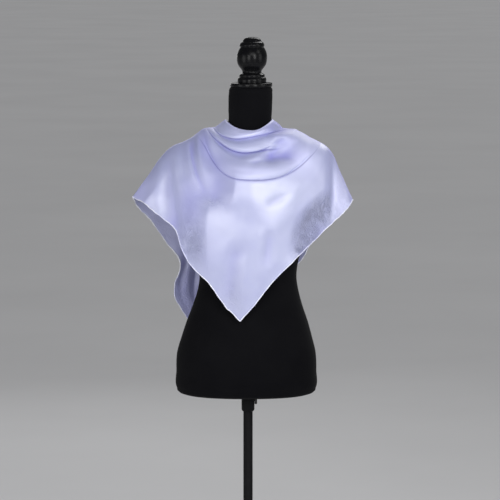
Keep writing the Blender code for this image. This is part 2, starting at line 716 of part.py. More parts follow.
def collar(group, cutters, surface):
    inner = POLE_RADIUS + GAP
    top = FORM_BOTTOM - GAP
    profile = [
        (inner, top),
        (COLLAR_RADIUS - COLLAR_EDGE, top),
        (COLLAR_RADIUS, top - COLLAR_EDGE),
        (COLLAR_RADIUS, COLLAR_BOTTOM + COLLAR_CHAMFER),
        (COLLAR_RADIUS - COLLAR_CHAMFER_WIDTH, COLLAR_BOTTOM),
        (inner, COLLAR_BOTTOM),
    ]
    ring = turned("collar", profile, group, surface)
    reach = HOLE_LENGTH / 2
    hole = cylinder("screw_hole", SCREW_RADIUS + GAP, -reach, reach, cutters, None, SCREW_STEPS)
    hole.rotation_euler.y = math.pi / 2
    hole.location = (COLLAR_RADIUS, 0, SCREW_HEIGHT)
    cut(ring, hole)
    return ring


def thumb_screw(group, surface):
    profile = [
        (0.0, KNOB_END),
        (KNOB_RADIUS - KNOB_EDGE, KNOB_END),
        (KNOB_RADIUS, KNOB_END - KNOB_EDGE),
        (KNOB_RADIUS, KNOB_START + KNOB_TAPER_HEIGHT),
        (KNOB_RADIUS - KNOB_TAPER_WIDTH, KNOB_START),
        (SCREW_RADIUS, KNOB_START),
        (SCREW_RADIUS, POLE_RADIUS + 2 * GAP),
        (0.0, POLE_RADIUS + 2 * GAP),
    ]
    screw = turned("thumb_screw", profile, group, surface, KNOB_STEPS)
    screw.rotation_euler.y = math.pi / 2
    screw.location.z = SCREW_HEIGHT
    return screw


def torso(group, cutters, surface):
    body = new_object("torso", grid_mesh("torso", form_points(), closed_round=True), group, surface)
    bore = cylinder("pole_bore", BORE_RADIUS, FORM_BOTTOM - BORE_BELOW, BORE_TOP, cutters)
    cut(body, bore)
    return body


def neck_cap(group, surface):
    profile = [
        (0.0, CAP_THICKNESS),
        (CAP_RADIUS - CAP_EDGE, CAP_THICKNESS),
        (CAP_RADIUS, CAP_THICKNESS - CAP_EDGE),
        (CAP_RADIUS, CAP_EDGE),
        (CAP_RADIUS - CAP_EDGE, 0.0),
        (0.0, 0.0),
    ]
    cap = turned("neck_cap", profile, group, surface)
    cap.location = (CAP_MIDDLE, 0, FORM[-1].height + GAP)
    return cap


def finial(group, surface):
    profile = [(0.0, FINIAL[0].height)]
    profile += [(row.radius, row.height) for row in FINIAL]
    profile += [(0.0, 0.0)]
    knob = turned("finial", profile, group, surface, FINIAL_STEPS)
    knob.location = (FINIAL_MIDDLE, 0, FORM[-1].height + CAP_THICKNESS + 2 * GAP)
    return knob


def build():
    clear_scene()
    parts = collection("scarf_on_dress_form")
    cutters = collection("cutters")
    steel = material("black_steel", (0.010, 0.010, 0.011), 0.45, 0.6)
    lacquer = material("black_lacquer", (0.008, 0.008, 0.009), 0.22)
    jersey = material("black_jersey", (0.012, 0.012, 0.014), 0.9)
    silk = material("lilac_silk", (0.50, 0.52, 0.82), 0.35)
    base(parts, steel)
    pole(parts, steel)
    collar(parts, cutters, steel)
    thumb_screw(parts, steel)
    body = torso(parts, cutters, jersey)
    neck_cap(parts, lacquer)
    finial(parts, lacquer)
    tree = BVHTree.FromObject(body, bpy.context.evaluated_depsgraph_get())
    front = front_points(tree)
    left = end_points(front[:, 0], LEFT_FOLDED_EDGE, LEFT_BACK_HEM, LEFT_PLEATS, tree)
    right = end_points(front[:, -1], RIGHT_FOLDED_EDGE, RIGHT_BACK_HEM, RIGHT_PLEATS, tree)
    half_gap = Vector((0, GAP / 2, 0))
    cloth("scarf_front", front - np.array(half_gap), parts, silk)
    cloth("scarf_left_end", left[:, ::-1] + np.array(half_gap), parts, silk)
    cloth("scarf_right_end", right + np.array(half_gap), parts, silk)


build()
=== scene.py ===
import math
from collections import namedtuple

import bmesh
import bpy
import numpy as np
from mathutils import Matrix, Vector, noise
from mathutils.bvhtree import BVHTree


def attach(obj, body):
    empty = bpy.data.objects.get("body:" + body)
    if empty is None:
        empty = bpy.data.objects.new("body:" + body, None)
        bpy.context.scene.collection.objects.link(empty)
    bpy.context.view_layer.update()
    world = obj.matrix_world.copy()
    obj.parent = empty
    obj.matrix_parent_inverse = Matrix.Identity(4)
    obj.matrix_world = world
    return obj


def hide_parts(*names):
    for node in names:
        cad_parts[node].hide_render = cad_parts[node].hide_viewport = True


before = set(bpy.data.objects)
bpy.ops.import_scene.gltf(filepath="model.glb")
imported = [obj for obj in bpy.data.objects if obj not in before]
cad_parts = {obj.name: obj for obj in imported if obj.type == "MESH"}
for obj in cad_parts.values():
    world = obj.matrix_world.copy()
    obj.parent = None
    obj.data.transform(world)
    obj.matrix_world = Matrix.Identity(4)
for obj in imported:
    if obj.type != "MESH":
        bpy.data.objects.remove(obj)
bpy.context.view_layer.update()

# Camera: level height of the picture's middle, half its width there, and how far it looks down.
CAMERA_DISTANCE = 6.5
CAMERA_PITCH = math.radians(7)
VIEW_HALF = 0.6125
VIEW_SIDE = 0.0049
VIEW_HEIGHT = 1.028

# Gap between pieces that touch.
GAP = 0.0003

# Stand.
BASE_RADIUS = 0.18
BASE_RIM = 0.005
BASE_CROWN = 0.012
HUB_RADIUS = 0.026
HUB_HEIGHT = 0.032
SOCKET_FLOOR = 0.004
POLE_RADIUS = 0.0115
POLE_TOP = 1.02
COLLAR_RADIUS = 0.0160
COLLAR_BOTTOM = 0.6285
COLLAR_CHAMFER = 0.004
SCREW_HEIGHT = 0.655
SCREW_RADIUS = 0.0025
KNOB_RADIUS = 0.010
KNOB_START = 0.0163
KNOB_END = 0.0225
KNOB_RIDGES = 24
KNOB_GROOVE = 0.03
ROUND_STEPS = 96

# Form.
FORM_BOTTOM = 0.675
BORE_RADIUS = 0.0125
BORE_TOP = 1.24
FORM_COLUMNS = 128
FORM_ROW_SPACING = 0.005
UNDERSIDE_RINGS = (0.3, 0.65, 0.9)
LID_RINGS = (0.7, 0.35, 0.02)
Section = namedtuple("Section", "height half_width front back middle squareness")
FORM = [Section(*row) for row in (
    (0.675, 0.155, 0.1, 0.1, -0.004, 2.3),
    (0.6785, 0.1655, 0.11, 0.11, -0.004, 2.3),
    (0.688, 0.171, 0.115, 0.116, -0.004, 2.3),
    (0.73, 0.1725, 0.116, 0.12, -0.004, 2.3),
    (0.775, 0.1705, 0.115, 0.121, -0.004, 2.3),
    (0.815, 0.16, 0.11, 0.116, -0.003, 2.3),
    (0.85, 0.1495, 0.103, 0.107, -0.002, 2.3),
    (0.895, 0.1335, 0.096, 0.095, -0.001, 2.2),
    (0.93, 0.1235, 0.091, 0.088, 0.0, 2.2),
    (0.96, 0.119, 0.089, 0.085, 0.0, 2.2),
    (0.995, 0.122, 0.094, 0.088, 0.0, 2.2),
    (1.045, 0.134, 0.105, 0.096, 0.001, 2.3),
    (1.09, 0.146, 0.119, 0.102, 0.001, 2.4),
    (1.125, 0.153, 0.122, 0.105, 0.002, 2.4),
    (1.165, 0.159, 0.112, 0.107, 0.003, 2.4),
    (1.205, 0.169, 0.098, 0.106, 0.004, 2.4),
    (1.235, 0.173, 0.084, 0.096, 0.004, 2.3),
    (1.255, 0.168, 0.072, 0.083, 0.005, 2.2),
    (1.273, 0.144, 0.063, 0.072, 0.005, 2.1),
    (1.29, 0.112, 0.058, 0.065, 0.005, 2.1),
    (1.306, 0.082, 0.055, 0.06, 0.005, 2.0),
    (1.322, 0.062, 0.053, 0.057, 0.005, 2.0),
    (1.34, 0.054, 0.052, 0.055, 0.005, 2.0),
    (1.375, 0.0532, 0.0515, 0.0535, 0.0055, 2.0),
    (1.415, 0.0528, 0.051, 0.053, 0.0065, 2.0),
    (1.4245, 0.0515, 0.05, 0.0518, 0.007, 2.0),
    (1.428, 0.0478, 0.0465, 0.048, 0.007, 2.0),
)]

# Neck cap and finial.
CAP_MIDDLE = 0.0080
FINIAL_MIDDLE = 0.0095
CAP_RADIUS = 0.051
CAP_THICKNESS = 0.0095
CAP_EDGE = 0.0015
Turning = namedtuple("Turning", "height radius")
FINIAL = [Turning(*row) for row in (
    (0.1104, 0.006), (0.1099, 0.011), (0.1083, 0.017), (0.104, 0.0215), (0.0995, 0.024),
    (0.098, 0.0268), (0.095, 0.029), (0.089, 0.0302), (0.0865, 0.0288), (0.085, 0.0298),
    (0.076, 0.0345), (0.069, 0.0364), (0.061, 0.037), (0.055, 0.0366), (0.049, 0.0357),
    (0.0425, 0.0333), (0.037, 0.0296), (0.031, 0.025), (0.027, 0.0232), (0.0235, 0.0243),
    (0.0215, 0.0285), (0.0195, 0.0308), (0.0165, 0.0314), (0.014, 0.031), (0.0125, 0.033),
    (0.01, 0.0347), (0.003, 0.035), (0.0, 0.0348),
)]

# Cloth.
SILK_THICKNESS = 0.0006
SILK_REST = 0.0010
FRONT_COLUMNS = 170
END_COLUMNS = 58
FOLD_ROW_SPACING = 0.0027
FLAT_ROW_SPACING = 0.0052
FOLDED_LENGTH = 1.27
HALF_FOLDED = FOLDED_LENGTH / 2
# Folds fade out where the cloth turns back, in the last share of each half and from this far in
# front of the pole.
SIDE_FADE = 0.12
SIDE_DEPTH = 0.06

# Lines across the front, from the left shoulder down to the lowest place and up to the right
# shoulder. out is how far the lowest place lies in front of the pole, bow how square the line is
# from above, and each hang how sharply that half bends from in front: 1 is straight.
Swag = namedtuple(
    "Swag",
    "low_x low_z out left_x left_z right_x right_z left_hang right_hang bow",
    defaults=(2.0,),
)
SWAGS = {
    "neck_rim": Swag(0.013, 1.326, 0.064, -0.056, 1.348, 0.061, 1.348, 2.8, 1.6),
    "neck_band": Swag(-0.004, 1.318, 0.0735, -0.066, 1.34, 0.075, 1.337, 2.8, 1.4),
    "band_under": Swag(-0.018, 1.311, 0.0752, -0.074, 1.3335, 0.081, 1.3305, 2.8, 1.2),
    "band_fold": Swag(-0.022, 1.3075, 0.0738, -0.079, 1.33, 0.084, 1.3275, 2.8, 1.15),
    "band_tuck": Swag(-0.022, 1.314, 0.0695, -0.0815, 1.3285, 0.086, 1.326, 2.8, 1.15),
    "band_leave": Swag(-0.022, 1.3062, 0.0702, -0.0845, 1.3275, 0.089, 1.325, 2.8, 1.2),
    "collar_roll": Swag(-0.016, 1.293, 0.085, -0.09, 1.3285, 0.099, 1.326, 2.4, 1.5),
    "collar_under": Swag(-0.01, 1.28, 0.0905, -0.0945, 1.3287, 0.1085, 1.3258, 2.2, 1.7),
    "collar_fold": Swag(-0.007, 1.2755, 0.089, -0.097, 1.3285, 0.115, 1.3255, 2.1, 1.8),
    "collar_tuck": Swag(-0.006, 1.283, 0.0835, -0.0985, 1.328, 0.118, 1.3245, 2.1, 1.9),
    "collar_leave": Swag(-0.005, 1.2742, 0.0845, -0.1005, 1.3275, 0.1235, 1.322, 2.1, 2.0),
    "swag_top": Swag(0.005, 1.257, 0.106, -0.1035, 1.3275, 0.135, 1.316, 2.5, 2.4),
    "swag_face": Swag(0.012, 1.233, 0.1278, -0.1075, 1.3265, 0.153, 1.305, 3.2, 2.6),
    "swag_under": Swag(0.015, 1.2185, 0.1298, -0.11, 1.3256, 0.164, 1.3, 3.6, 2.7),
    "swag_fold": Swag(0.016, 1.213, 0.1278, -0.1115, 1.325, 0.168, 1.298, 3.8, 2.7),
    "swag_tuck": Swag(0.017, 1.2215, 0.1218, -0.113, 1.324, 0.171, 1.2955, 3.8, 2.7),
    "swag_leave": Swag(0.017, 1.2117, 0.1243, -0.1165, 1.322, 0.1755, 1.2925, 3.5, 2.6),
    "chest": Swag(0.015, 1.187, 0.1285, -0.133, 1.308, 0.182, 1.29, 2.6, 2.4),
    "breast": Swag(0.008, 1.145, 0.1345, -0.158, 1.2945, 0.195, 1.28, 2.1, 2.1),
    "bust": Swag(0.002, 1.088, 0.139, -0.185, 1.283, 0.207, 1.264, 1.8, 1.8, 1.9),
    "ribs": Swag(-0.005, 1.025, 0.138, -0.215, 1.253, 0.222, 1.23, 1.5, 1.5, 1.8),
    "waist": Swag(-0.012, 0.959, 0.135, -0.244, 1.211, 0.238, 1.193, 1.3, 1.3, 1.65),
    "hem": Swag(-0.019, 0.872, 0.127, -0.281, 1.159, 0.256, 1.152, 1.05, 1.05, 1.5),
}
Tuck = namedtuple("Tuck", "left_from left_to right_from right_to")
TUCKS = {
    "band_tuck": Tuck(0.7, 1.0, 0.7, 1.0),
    "collar_tuck": Tuck(0.7, 1.0, 0.22, 0.5),
    "swag_tuck": Tuck(0.66, 0.95, 0.58, 0.88),
}

# Outline of the front hem, left to right.
HemPoint = namedtuple("HemPoint", "x z out")
FRONT_HEM = [HemPoint(*row) for row in (
    (-0.281, 1.159, 0.0), (-0.252, 1.148, 0.036), (-0.218, 1.122, 0.06), (-0.182, 1.096, 0.074),
    (-0.172, 1.082, 0.082), (-0.161, 1.047, 0.098), (-0.142, 1.009, 0.108),
    (-0.122, 0.989, 0.113), (-0.094, 0.962, 0.118), (-0.074, 0.935, 0.121),
    (-0.052, 0.903, 0.124), (-0.019, 0.872, 0.127), (0.019, 0.914, 0.126),
    (0.044, 0.948, 0.124), (0.077, 0.985, 0.121), (0.098, 1.004, 0.118), (0.139, 1.044, 0.11),
    (0.161, 1.065, 0.102), (0.197, 1.097, 0.084), (0.21, 1.11, 0.074), (0.232, 1.125, 0.05),
    (0.25, 1.145, 0.024), (0.256, 1.152, 0.0),
)]
HEM_SHIFT_UP = {"ribs": 0.12, "waist": 0.42, "hem": 1.0}
# The crisp folds and slopes start at the top of the third fold and stand fully this many lines on.
BELOW_LINES = 3

# Folds of the silk, each on a curve through three places seen from in front, with its widths to
# the left and right of the curve. A round fold is a soft ridge, or a valley where depth is below
# 0. A crisp one has a sharp top. Beyond a slope the silk stays lower, on the curve's right side.
Fold = namedtuple("Fold", "x1 z1 x2 z2 x3 z3 left right depth")
ROUND_FOLDS = {
    "left_flap_valley": Fold(-0.194, 1.315, -0.187, 1.181, -0.168, 1.04, 0.026, 0.016, -0.009),
    "left_flap_ridge": Fold(-0.222, 1.29, -0.236, 1.185, -0.24, 1.1, 0.028, 0.034, 0.01),
    "left_shoulder_valley": Fold(-0.138, 1.347, -0.133, 1.256, -0.096, 1.169, 0.007, 0.009, -0.0075),
    "left_shoulder_ridge": Fold(-0.123, 1.343, -0.12, 1.277, -0.096, 1.208, 0.006, 0.006, 0.0045),
    "left_outer_hollow": Fold(-0.166, 1.32, -0.158, 1.25, -0.15, 1.18, 0.012, 0.014, -0.004),
    "pocket": Fold(0.03, 1.258, 0.078, 1.266, 0.13, 1.258, 0.011, 0.026, -0.014),
    "pocket_brow": Fold(0.044, 1.308, 0.09, 1.314, 0.14, 1.304, 0.014, 0.012, 0.013),
    "pocket_tail": Fold(-0.006, 1.246, 0.04, 1.258, 0.092, 1.264, 0.008, 0.011, -0.004),
    "pocket_loop": Fold(-0.022, 1.262, 0.046, 1.277, 0.068, 1.318, 0.008, 0.01, 0.0075),
    "pocket_rim": Fold(0.125, 1.323, 0.147, 1.281, 0.14, 1.233, 0.012, 0.012, 0.003),
    "right_flap_valley": Fold(0.205, 1.3, 0.203, 1.194, 0.197, 1.078, 0.012, 0.01, -0.007),
    "right_flap_ridge": Fold(0.222, 1.262, 0.224, 1.19, 0.22, 1.12, 0.014, 0.014, 0.003),
    "lower_valley": Fold(-0.02, 1.078, -0.04, 0.983, -0.052, 0.87, 0.018, 0.026, -0.0055),
    "lower_right_valley": Fold(0.057, 1.097, 0.048, 1.043, 0.042, 0.974, 0.014, 0.014, -0.004),
    "breast_streak": Fold(0.036, 1.148, 0.074, 1.165, 0.118, 1.186, 0.011, 0.011, -0.0022),
}
CRISP_FOLDS = {
    "left_front_edge": Fold(-0.038, 1.27, -0.031, 1.198, -0.05, 1.122, 0.048, 0.11, 0.0135),
    "left_panel_edge": Fold(-0.084, 1.184, -0.101, 1.079, -0.082, 0.926, 0.045, 0.06, 0.0085),
}
SLOPES = {
    "right_facet": Fold(0.215, 1.205, 0.107, 1.112, 0.112, 0.985, 0.0, 0.065, 0.056),
}
# How folds start and end along their curves, how round a crisp top is and how its sides curve.
FOLD_START = 0.3
ROUND_END = 0.45
CRISP_END = 0.4
CREST = 0.06
CRISPNESS = 1.7
SLOPE_SOFT = 0.018
SLOPE_FADE = 0.7
Hollow = namedtuple("Hollow", "x z width height depth")
HOLLOWS = {
    "left_facet": Hollow(-0.095, 1.178, 0.045, 0.045, 0.009),
    "swag_left": Hollow(-0.075, 1.262, 0.034, 0.026, 0.006),
}

# Small uneven waves of the silk: how large they are, how high they stand, and a seed.
Uneven = namedtuple("Uneven", "size height seed")
UNEVEN = [Uneven(0.070, 0.0016, 11.0), Uneven(0.028, 0.0006, 37.0)]
HEM_RIPPLE = Uneven(0.016, 0.0022, 71.0)
HEM_RIPPLE_ROWS = ((-1, 1.0), (-2, 0.5), (-3, 0.15))

# Painted shade and light on the silk, seen from in front: violet shade, grey shade and light
# painted into its colour, and where it lies crumpled.
Tone = namedtuple("Tone", "x z width height violet grey pale crumple", defaults=(0.0,) * 4)
FRONT_PAINTED_SHADING = {
    "band_middle": Tone(-0.004, 1.324, 0.036, 0.012, pale=1.6),
    "band_right": Tone(0.07, 1.332, 0.02, 0.013, violet=1.4, grey=0.95),
    "pocket": Tone(0.098, 1.286, 0.024, 0.026, violet=0.3, pale=0.35),
    "pocket_band": Tone(0.072, 1.266, 0.05, 0.009, violet=0.38, pale=0.2),
    "swag_left": Tone(-0.078, 1.256, 0.026, 0.026, violet=0.35),
    "left_shoulder": Tone(-0.104, 1.29, 0.014, 0.04, violet=0.45),
    "left_facet": Tone(-0.074, 1.2, 0.04, 0.038, violet=0.46),
    "left_facet_foot": Tone(-0.078, 1.158, 0.032, 0.01, violet=0.05, crumple=0.5),
    "left_middle": Tone(-0.14, 1.15, 0.032, 0.06, violet=0.8, grey=0.26, crumple=0.15),
    "left_panel": Tone(-0.132, 1.05, 0.03, 0.055, violet=0.2, grey=1.0, crumple=0.6),
    "lower_left": Tone(-0.034, 0.985, 0.02, 0.05, violet=0.1, grey=0.35, crumple=0.1),
    "point": Tone(-0.034, 0.92, 0.034, 0.04, violet=0.08, grey=0.45, crumple=0.3),
    "left_valley": Tone(-0.195, 1.18, 0.011, 0.08, violet=0.15, grey=0.55),
    "left_flap": Tone(-0.23, 1.18, 0.024, 0.045, pale=0.35),
    "left_edge": Tone(-0.262, 1.18, 0.02, 0.06, violet=0.3, pale=0.75),
    "right_flap": Tone(0.23, 1.19, 0.026, 0.08, pale=1.1, crumple=0.35),
    "right_valley": Tone(0.2025, 1.19, 0.006, 0.085, violet=0.2, grey=1.0),
    "swag_middle": Tone(0.0, 1.234, 0.055, 0.018, pale=0.95),
    "swag_right": Tone(0.13, 1.262, 0.028, 0.024, pale=0.8),
    "right_chest": Tone(0.14, 1.246, 0.045, 0.04, pale=0.4),
}
# Painted light and shade on the ends: light painted on the inside of the left end and at the right
# hem, shade painted on the left tail and the right end's middle.
END_PAINTED_SHADING = {
    "left_inside": Tone(-0.225, 1.075, 0.07, 0.08, violet=0.16, pale=2.0, crumple=0.2),
    "left_tail": Tone(-0.15, 0.9, 0.06, 0.11, violet=0.62, grey=0.34, crumple=0.3),
    "right_middle": Tone(0.08, 1.0, 0.045, 0.12, grey=0.3, crumple=0.3),
    "right_hem": Tone(0.14, 1.01, 0.026, 0.036, violet=0.25, pale=1.8),
}
# The painted grey shade on the facet at the right: how softly it starts below its slope, how
# ragged that edge is, and where it ends at the flap.
FACET_SOFT = 0.034
FACET_RAGGED = Uneven(0.030, 0.006, 5.0)
FACET_REACH = 0.085
FACET_START = 0.15
FACET_END = 0.2025
FACET_END_SOFT = 0.004
FACET_PAINTED_SHADE = 1.1
# The dark line of painted shade where each fold turns under, the duller silk above the third fold
# with a little painted violet shade, and how much painted violet shade lies deep in its folds.
CREASE_PAINTED_SHADE = {"band_leave": 0.75, "collar_leave": 1.0, "swag_leave": 0.75}
CREASE_WIDTH = 0.15
MATT_PAINTED_SHADE = 0.06
MATT_END = 0.5
HOLLOW_PAINTED_SHADE = 0.7
HOLLOW_ROUNDS = 24
HOLLOW_FULL = 0.0035
SILK_PAINTED_SHADING_AND_FINISH = ("violet", "grey", "pale", "crumple", "painted_crease_shade", "matt_and_painted_shade")

# Ends thrown back over the shoulders: the folded edge and the hem, from shoulder to tip. Their
# columns lie close at the shoulder, END_FIRST_STEP apart, and wider towards the tip. The shape of
# the shoulder line is kept less and less, up to SHOULDER_KEPT.
END_FIRST_STEP = 0.006
END_SPREAD = 1.6
SHOULDER_KEPT = 0.75
EdgePoint = namedtuple("EdgePoint", "along x y z")
LEFT_FOLDED_EDGE = [EdgePoint(*row) for row in (
    (0.0, -0.056, 0.0, 1.348), (0.07, -0.057, 0.03, 1.343), (0.18, -0.059, 0.068, 1.305),
    (0.33, -0.058, 0.101, 1.225), (0.5, -0.056, 0.118, 1.115), (0.68, -0.066, 0.124, 0.995),
    (0.84, -0.086, 0.13, 0.895), (1.0, -0.106, 0.136, 0.796),
)]
LEFT_BACK_HEM = [EdgePoint(*row) for row in (
    (0.0, -0.281, 0.0, 1.159), (0.07, -0.273, 0.026, 1.137), (0.2, -0.236, 0.058, 1.09),
    (0.34, -0.203, 0.079, 1.039), (0.47, -0.172, 0.09, 0.996), (0.55, -0.168, 0.094, 0.973),
    (0.68, -0.182, 0.1, 0.928), (0.79, -0.18, 0.109, 0.892), (0.9, -0.153, 0.122, 0.844),
    (1.0, -0.122, 0.134, 0.79),
)]
RIGHT_FOLDED_EDGE = [EdgePoint(*row) for row in (
    (0.0, 0.061, 0.0, 1.348), (0.07, 0.062, 0.03, 1.343), (0.18, 0.062, 0.068, 1.305),
    (0.33, 0.052, 0.103, 1.225), (0.5, 0.04, 0.12, 1.115), (0.68, 0.024, 0.126, 0.995),
    (0.84, 0.016, 0.13, 0.9), (1.0, 0.012, 0.134, 0.806),
)]
RIGHT_BACK_HEM = [EdgePoint(*row) for row in (
    (0.0, 0.256, 0.0, 1.152), (0.07, 0.246, 0.026, 1.136), (0.22, 0.202, 0.06, 1.096),
    (0.38, 0.164, 0.084, 1.054), (0.52, 0.1345, 0.098, 0.993), (0.64, 0.113, 0.106, 0.966),
    (0.76, 0.095, 0.114, 0.919), (0.88, 0.068, 0.124, 0.858), (1.0, 0.028, 0.134, 0.8),
)]
# Pleats along the ends: each rises from its own start, and all of them fade after PLEAT_END.
PLEAT_RISE = 0.25
PLEAT_END = 0.68
PLEAT_FADE = 0.24
Pleat = namedtuple("Pleat", "place width depth start")
LEFT_PLEATS = [Pleat(*row) for row in (
    (0.16, 0.07, 0.01, 0.1), (0.36, 0.06, -0.0045, 0.15), (0.55, 0.075, 0.0055, 0.1),
    (0.72, 0.06, -0.001, 0.3), (0.86, 0.08, 0.003, 0.35),
)]
RIGHT_PLEATS = [Pleat(*row) for row in (
    (0.14, 0.06, 0.009, 0.1), (0.33, 0.07, -0.006, 0.2), (0.52, 0.06, 0.011, 0.1),
    (0.7, 0.06, -0.007, 0.25), (0.85, 0.055, 0.008, 0.2),
)]

# Hand-rolled hem and its stitches, and the rolled fold at the neck.
HEM_RADIUS = 0.0015
HEM_UNEVEN = 0.35
HEM_PATCH = 1 / 55
HEM_SIDES = 8
HEM_STEP = 0.0011
STITCH_SPACING = 0.0065
STITCH_PINCH = 0.30
STITCH_SHARE = 0.10
LIP_RADIUS = 0.0022
LIP_FADE_COLUMNS = 20
LIP_TURNS = np.radians([0, 45, 90, 135])
LIP_DEPTHS = (0.012, 0.0072, 0.003)


def all_round(count):
    """Even angles all the way round."""
    return np.arange(count) / count * 2 * math.pi


def lengths(vectors):
    """The length of each vector, never quite 0."""
    return np.linalg.norm(vectors, axis=-1, keepdims=True) + 1e-12


def unit(vectors):
    return vectors / lengths(vectors)


def travelled(steps):
    """The way from the start to each place, given the steps between them."""
    return np.concatenate([[0], np.cumsum(steps)])


def smoothstep(value):
    value = np.clip(value, 0, 1)
    return value * value * (3 - 2 * value)


def cubic(part, start, end, leave, arrive):
    """Between start and end, with the slopes there, at part of the way."""
    return (
        (2 * part**3 - 3 * part**2 + 1) * start
        + (part**3 - 2 * part**2 + part) * leave
        + (3 * part**2 - 2 * part**3) * end
        + (part**3 - part**2) * arrive
    )


def smooth_through(points, fractions):
    """A smooth curve through rows of points, read at fractions counted in rows."""
    last = len(points) - 1
    low = np.clip(np.floor(fractions).astype(int), 0, last - 1)
    part = (fractions - low).reshape(-1, *([1] * (points.ndim - 1)))
    before = points[np.maximum(low - 1, 0)]
    start = points[low]
    end = points[low + 1]
    after = points[np.minimum(low + 2, last)]
    step = end - start
    step_before = np.where((low > 0).reshape(part.shape), start - before, step)
    step_after = np.where((low < last - 1).reshape(part.shape), after - end, step)
    size = lengths(step)

    def slope(other):
        """The slope where this step meets another: the shorter one counts for more."""
        reach = lengths(other)
        return (unit(step) * reach + unit(other) * size) / (size + reach) * size

    return cubic(part, start, end, slope(step_before), slope(step_after))


def smooth_column(table, column):
    """One column of a table as a smooth function of its first column."""
    where = table[:, 0]
    value = table[:, column]
    slope = np.gradient(value, where)

    def read(at):
        low = np.clip(np.searchsorted(where, at) - 1, 0, len(where) - 2)
        width = where[low + 1] - where[low]
        part = (at - where[low]) / width
        return cubic(part, value[low], value[low + 1], slope[low] * width, slope[low + 1] * width)

    return read


def face_outwards(mesh, fill=False):
    """Turns all faces outwards, after joining points that lie together and filling holes."""
    shape = bmesh.new()
    shape.from_mesh(mesh)
    if fill:
        bmesh.ops.remove_doubles(shape, verts=shape.verts, dist=1e-6)
        bmesh.ops.holes_fill(shape, edges=[e for e in shape.edges if e.is_boundary])
    bmesh.ops.recalc_face_normals(shape, faces=shape.faces)
    shape.to_mesh(mesh)
    shape.free()


def placed(name, data, place=(0, 0, 0), turn=(0, 0, 0)):
    made = bpy.data.objects.new(name, data)
    made.location = place
    made.rotation_euler = turn
    bpy.context.scene.collection.objects.link(made)
    return made


def new_object(name, mesh, surface):
    mesh.materials.append(surface)
    return placed(name, mesh)


def grid_mesh(name, points, closed_round=False, closed_ends=False):
    """A smooth-shaded mesh of quads over rows of points."""
    rows, columns = points.shape[:2]
    span = columns if closed_round else columns - 1
    i, j = np.meshgrid(np.arange(rows - 1), np.arange(span), indexing="ij")
    k = (j + 1) % columns
    faces = np.stack(
        [i * columns + j, (i + 1) * columns + j, (i + 1) * columns + k, i * columns + k], axis=-1
    )
    faces = faces.reshape(-1, 4).tolist()
    if closed_ends:
        faces.append(list(range(columns)))
        faces.append([(rows - 1) * columns + c for c in reversed(range(columns))])
    mesh = bpy.data.meshes.new(name)
    mesh.from_pydata(points.reshape(-1, 3).tolist(), [], faces)
    mesh.validate()
    if closed_ends:
        face_outwards(mesh)
    mesh.shade_smooth()
    return mesh


def lathe(name, profile, surface, steps=ROUND_STEPS, sharp=math.radians(50)):
    """A solid turned about Z from (radius, height) points, closed where the radius is 0."""
    profile = np.array(profile, float)
    angle = all_round(steps)
    ring = np.stack([np.cos(angle), np.sin(angle)], axis=-1)
    points = np.empty((len(profile), steps, 3))
    points[..., :2] = profile[:, None, :1] * ring[None]
    points[..., 2] = profile[:, 1:]
    mesh = grid_mesh(name, points, closed_round=True)
    face_outwards(mesh, fill=True)
    mesh.shade_smooth()
    mesh.set_sharp_from_angle(angle=sharp)
    return new_object(name, mesh, surface)


def rounded(profile, steps=6):
    """A profile with more points, on a smooth curve through the given ones."""
    points = np.array(profile, float)[:, None]
    fractions = np.linspace(0, len(points) - 1, (len(points) - 1) * steps + 1)
    return smooth_through(points, fractions)[:, 0]


def form_rings():
    """Rings round the form: up the bore, down to the underside, out, and up to the neck."""
    table = np.array(FORM)
    heights = [FORM[0].height]
    for low, high in zip(table[:-1, 0], table[1:, 0]):
        count = max(2, round((high - low) / FORM_ROW_SPACING))
        heights += list(low + (high - low) * (np.arange(count) + 1) / count)
    heights = np.array(heights)
    half_width, front, back, middle, squareness = [
        smooth_column(table, i)(heights) for i in range(1, 6)
    ]
    angle = all_round(FORM_COLUMNS)
    power = 2 / squareness[:, None]
    across = np.sign(np.cos(angle)) * np.abs(np.cos(angle)) ** power
    deep = np.sign(np.sin(angle)) * np.abs(np.sin(angle)) ** power
    depth = np.where(np.sin(angle) > 0, back[:, None], front[:, None])
    x = middle[:, None] + half_width[:, None] * across
    y = depth * deep
    z = np.broadcast_to(heights[:, None], x.shape)
    sides = np.stack([x, y, z], axis=-1)
    ring = np.stack([np.cos(angle), np.sin(angle), np.zeros_like(angle)], axis=-1)
    bore = ring * BORE_RADIUS
    up = np.array([0, 0, 1.0])
    inside = [bore * 0.02 + up * BORE_TOP, bore + up * BORE_TOP, bore + up * FORM_BOTTOM]
    flat = sides[0] - bore - up * FORM_BOTTOM
    under = [bore + flat * share + up * FORM_BOTTOM for share in UNDERSIDE_RINGS]
    top = sides[-1]
    centre = top.mean(axis=0)
    lid = [centre + (top - centre) * share for share in LID_RINGS]
    return np.concatenate([np.array(inside), np.array(under), sides, np.array(lid)])


def swag_line(swag, across):
    """Points of one line across the front, for across from -1 at the left to 1 at the right."""
    angle = np.abs(across) * math.pi / 2
    power = 2 / swag.bow
    reach = np.sin(angle) ** power
    side_x = np.where(across < 0, swag.left_x, swag.right_x)
    side_z = np.where(across < 0, swag.left_z, swag.right_z)
    x = swag.low_x + (side_x - swag.low_x) * reach
    y = -swag.out * np.clip(np.cos(angle), 0, 1) ** power
    hang = np.where(across < 0, swag.left_hang, swag.right_hang)
    z = swag.low_z + (side_z - swag.low_z) * reach**hang
    return np.stack([x, y, z], axis=-1)


def closing(tuck, across):
    """From 0 where a tuck is open to 1 where it has run out, at each place across."""
    start = np.where(across < 0, tuck.left_from, tuck.right_from)
    end = np.where(across < 0, tuck.left_to, tuck.right_to)
    return smoothstep((np.abs(across) - start) / (end - start))


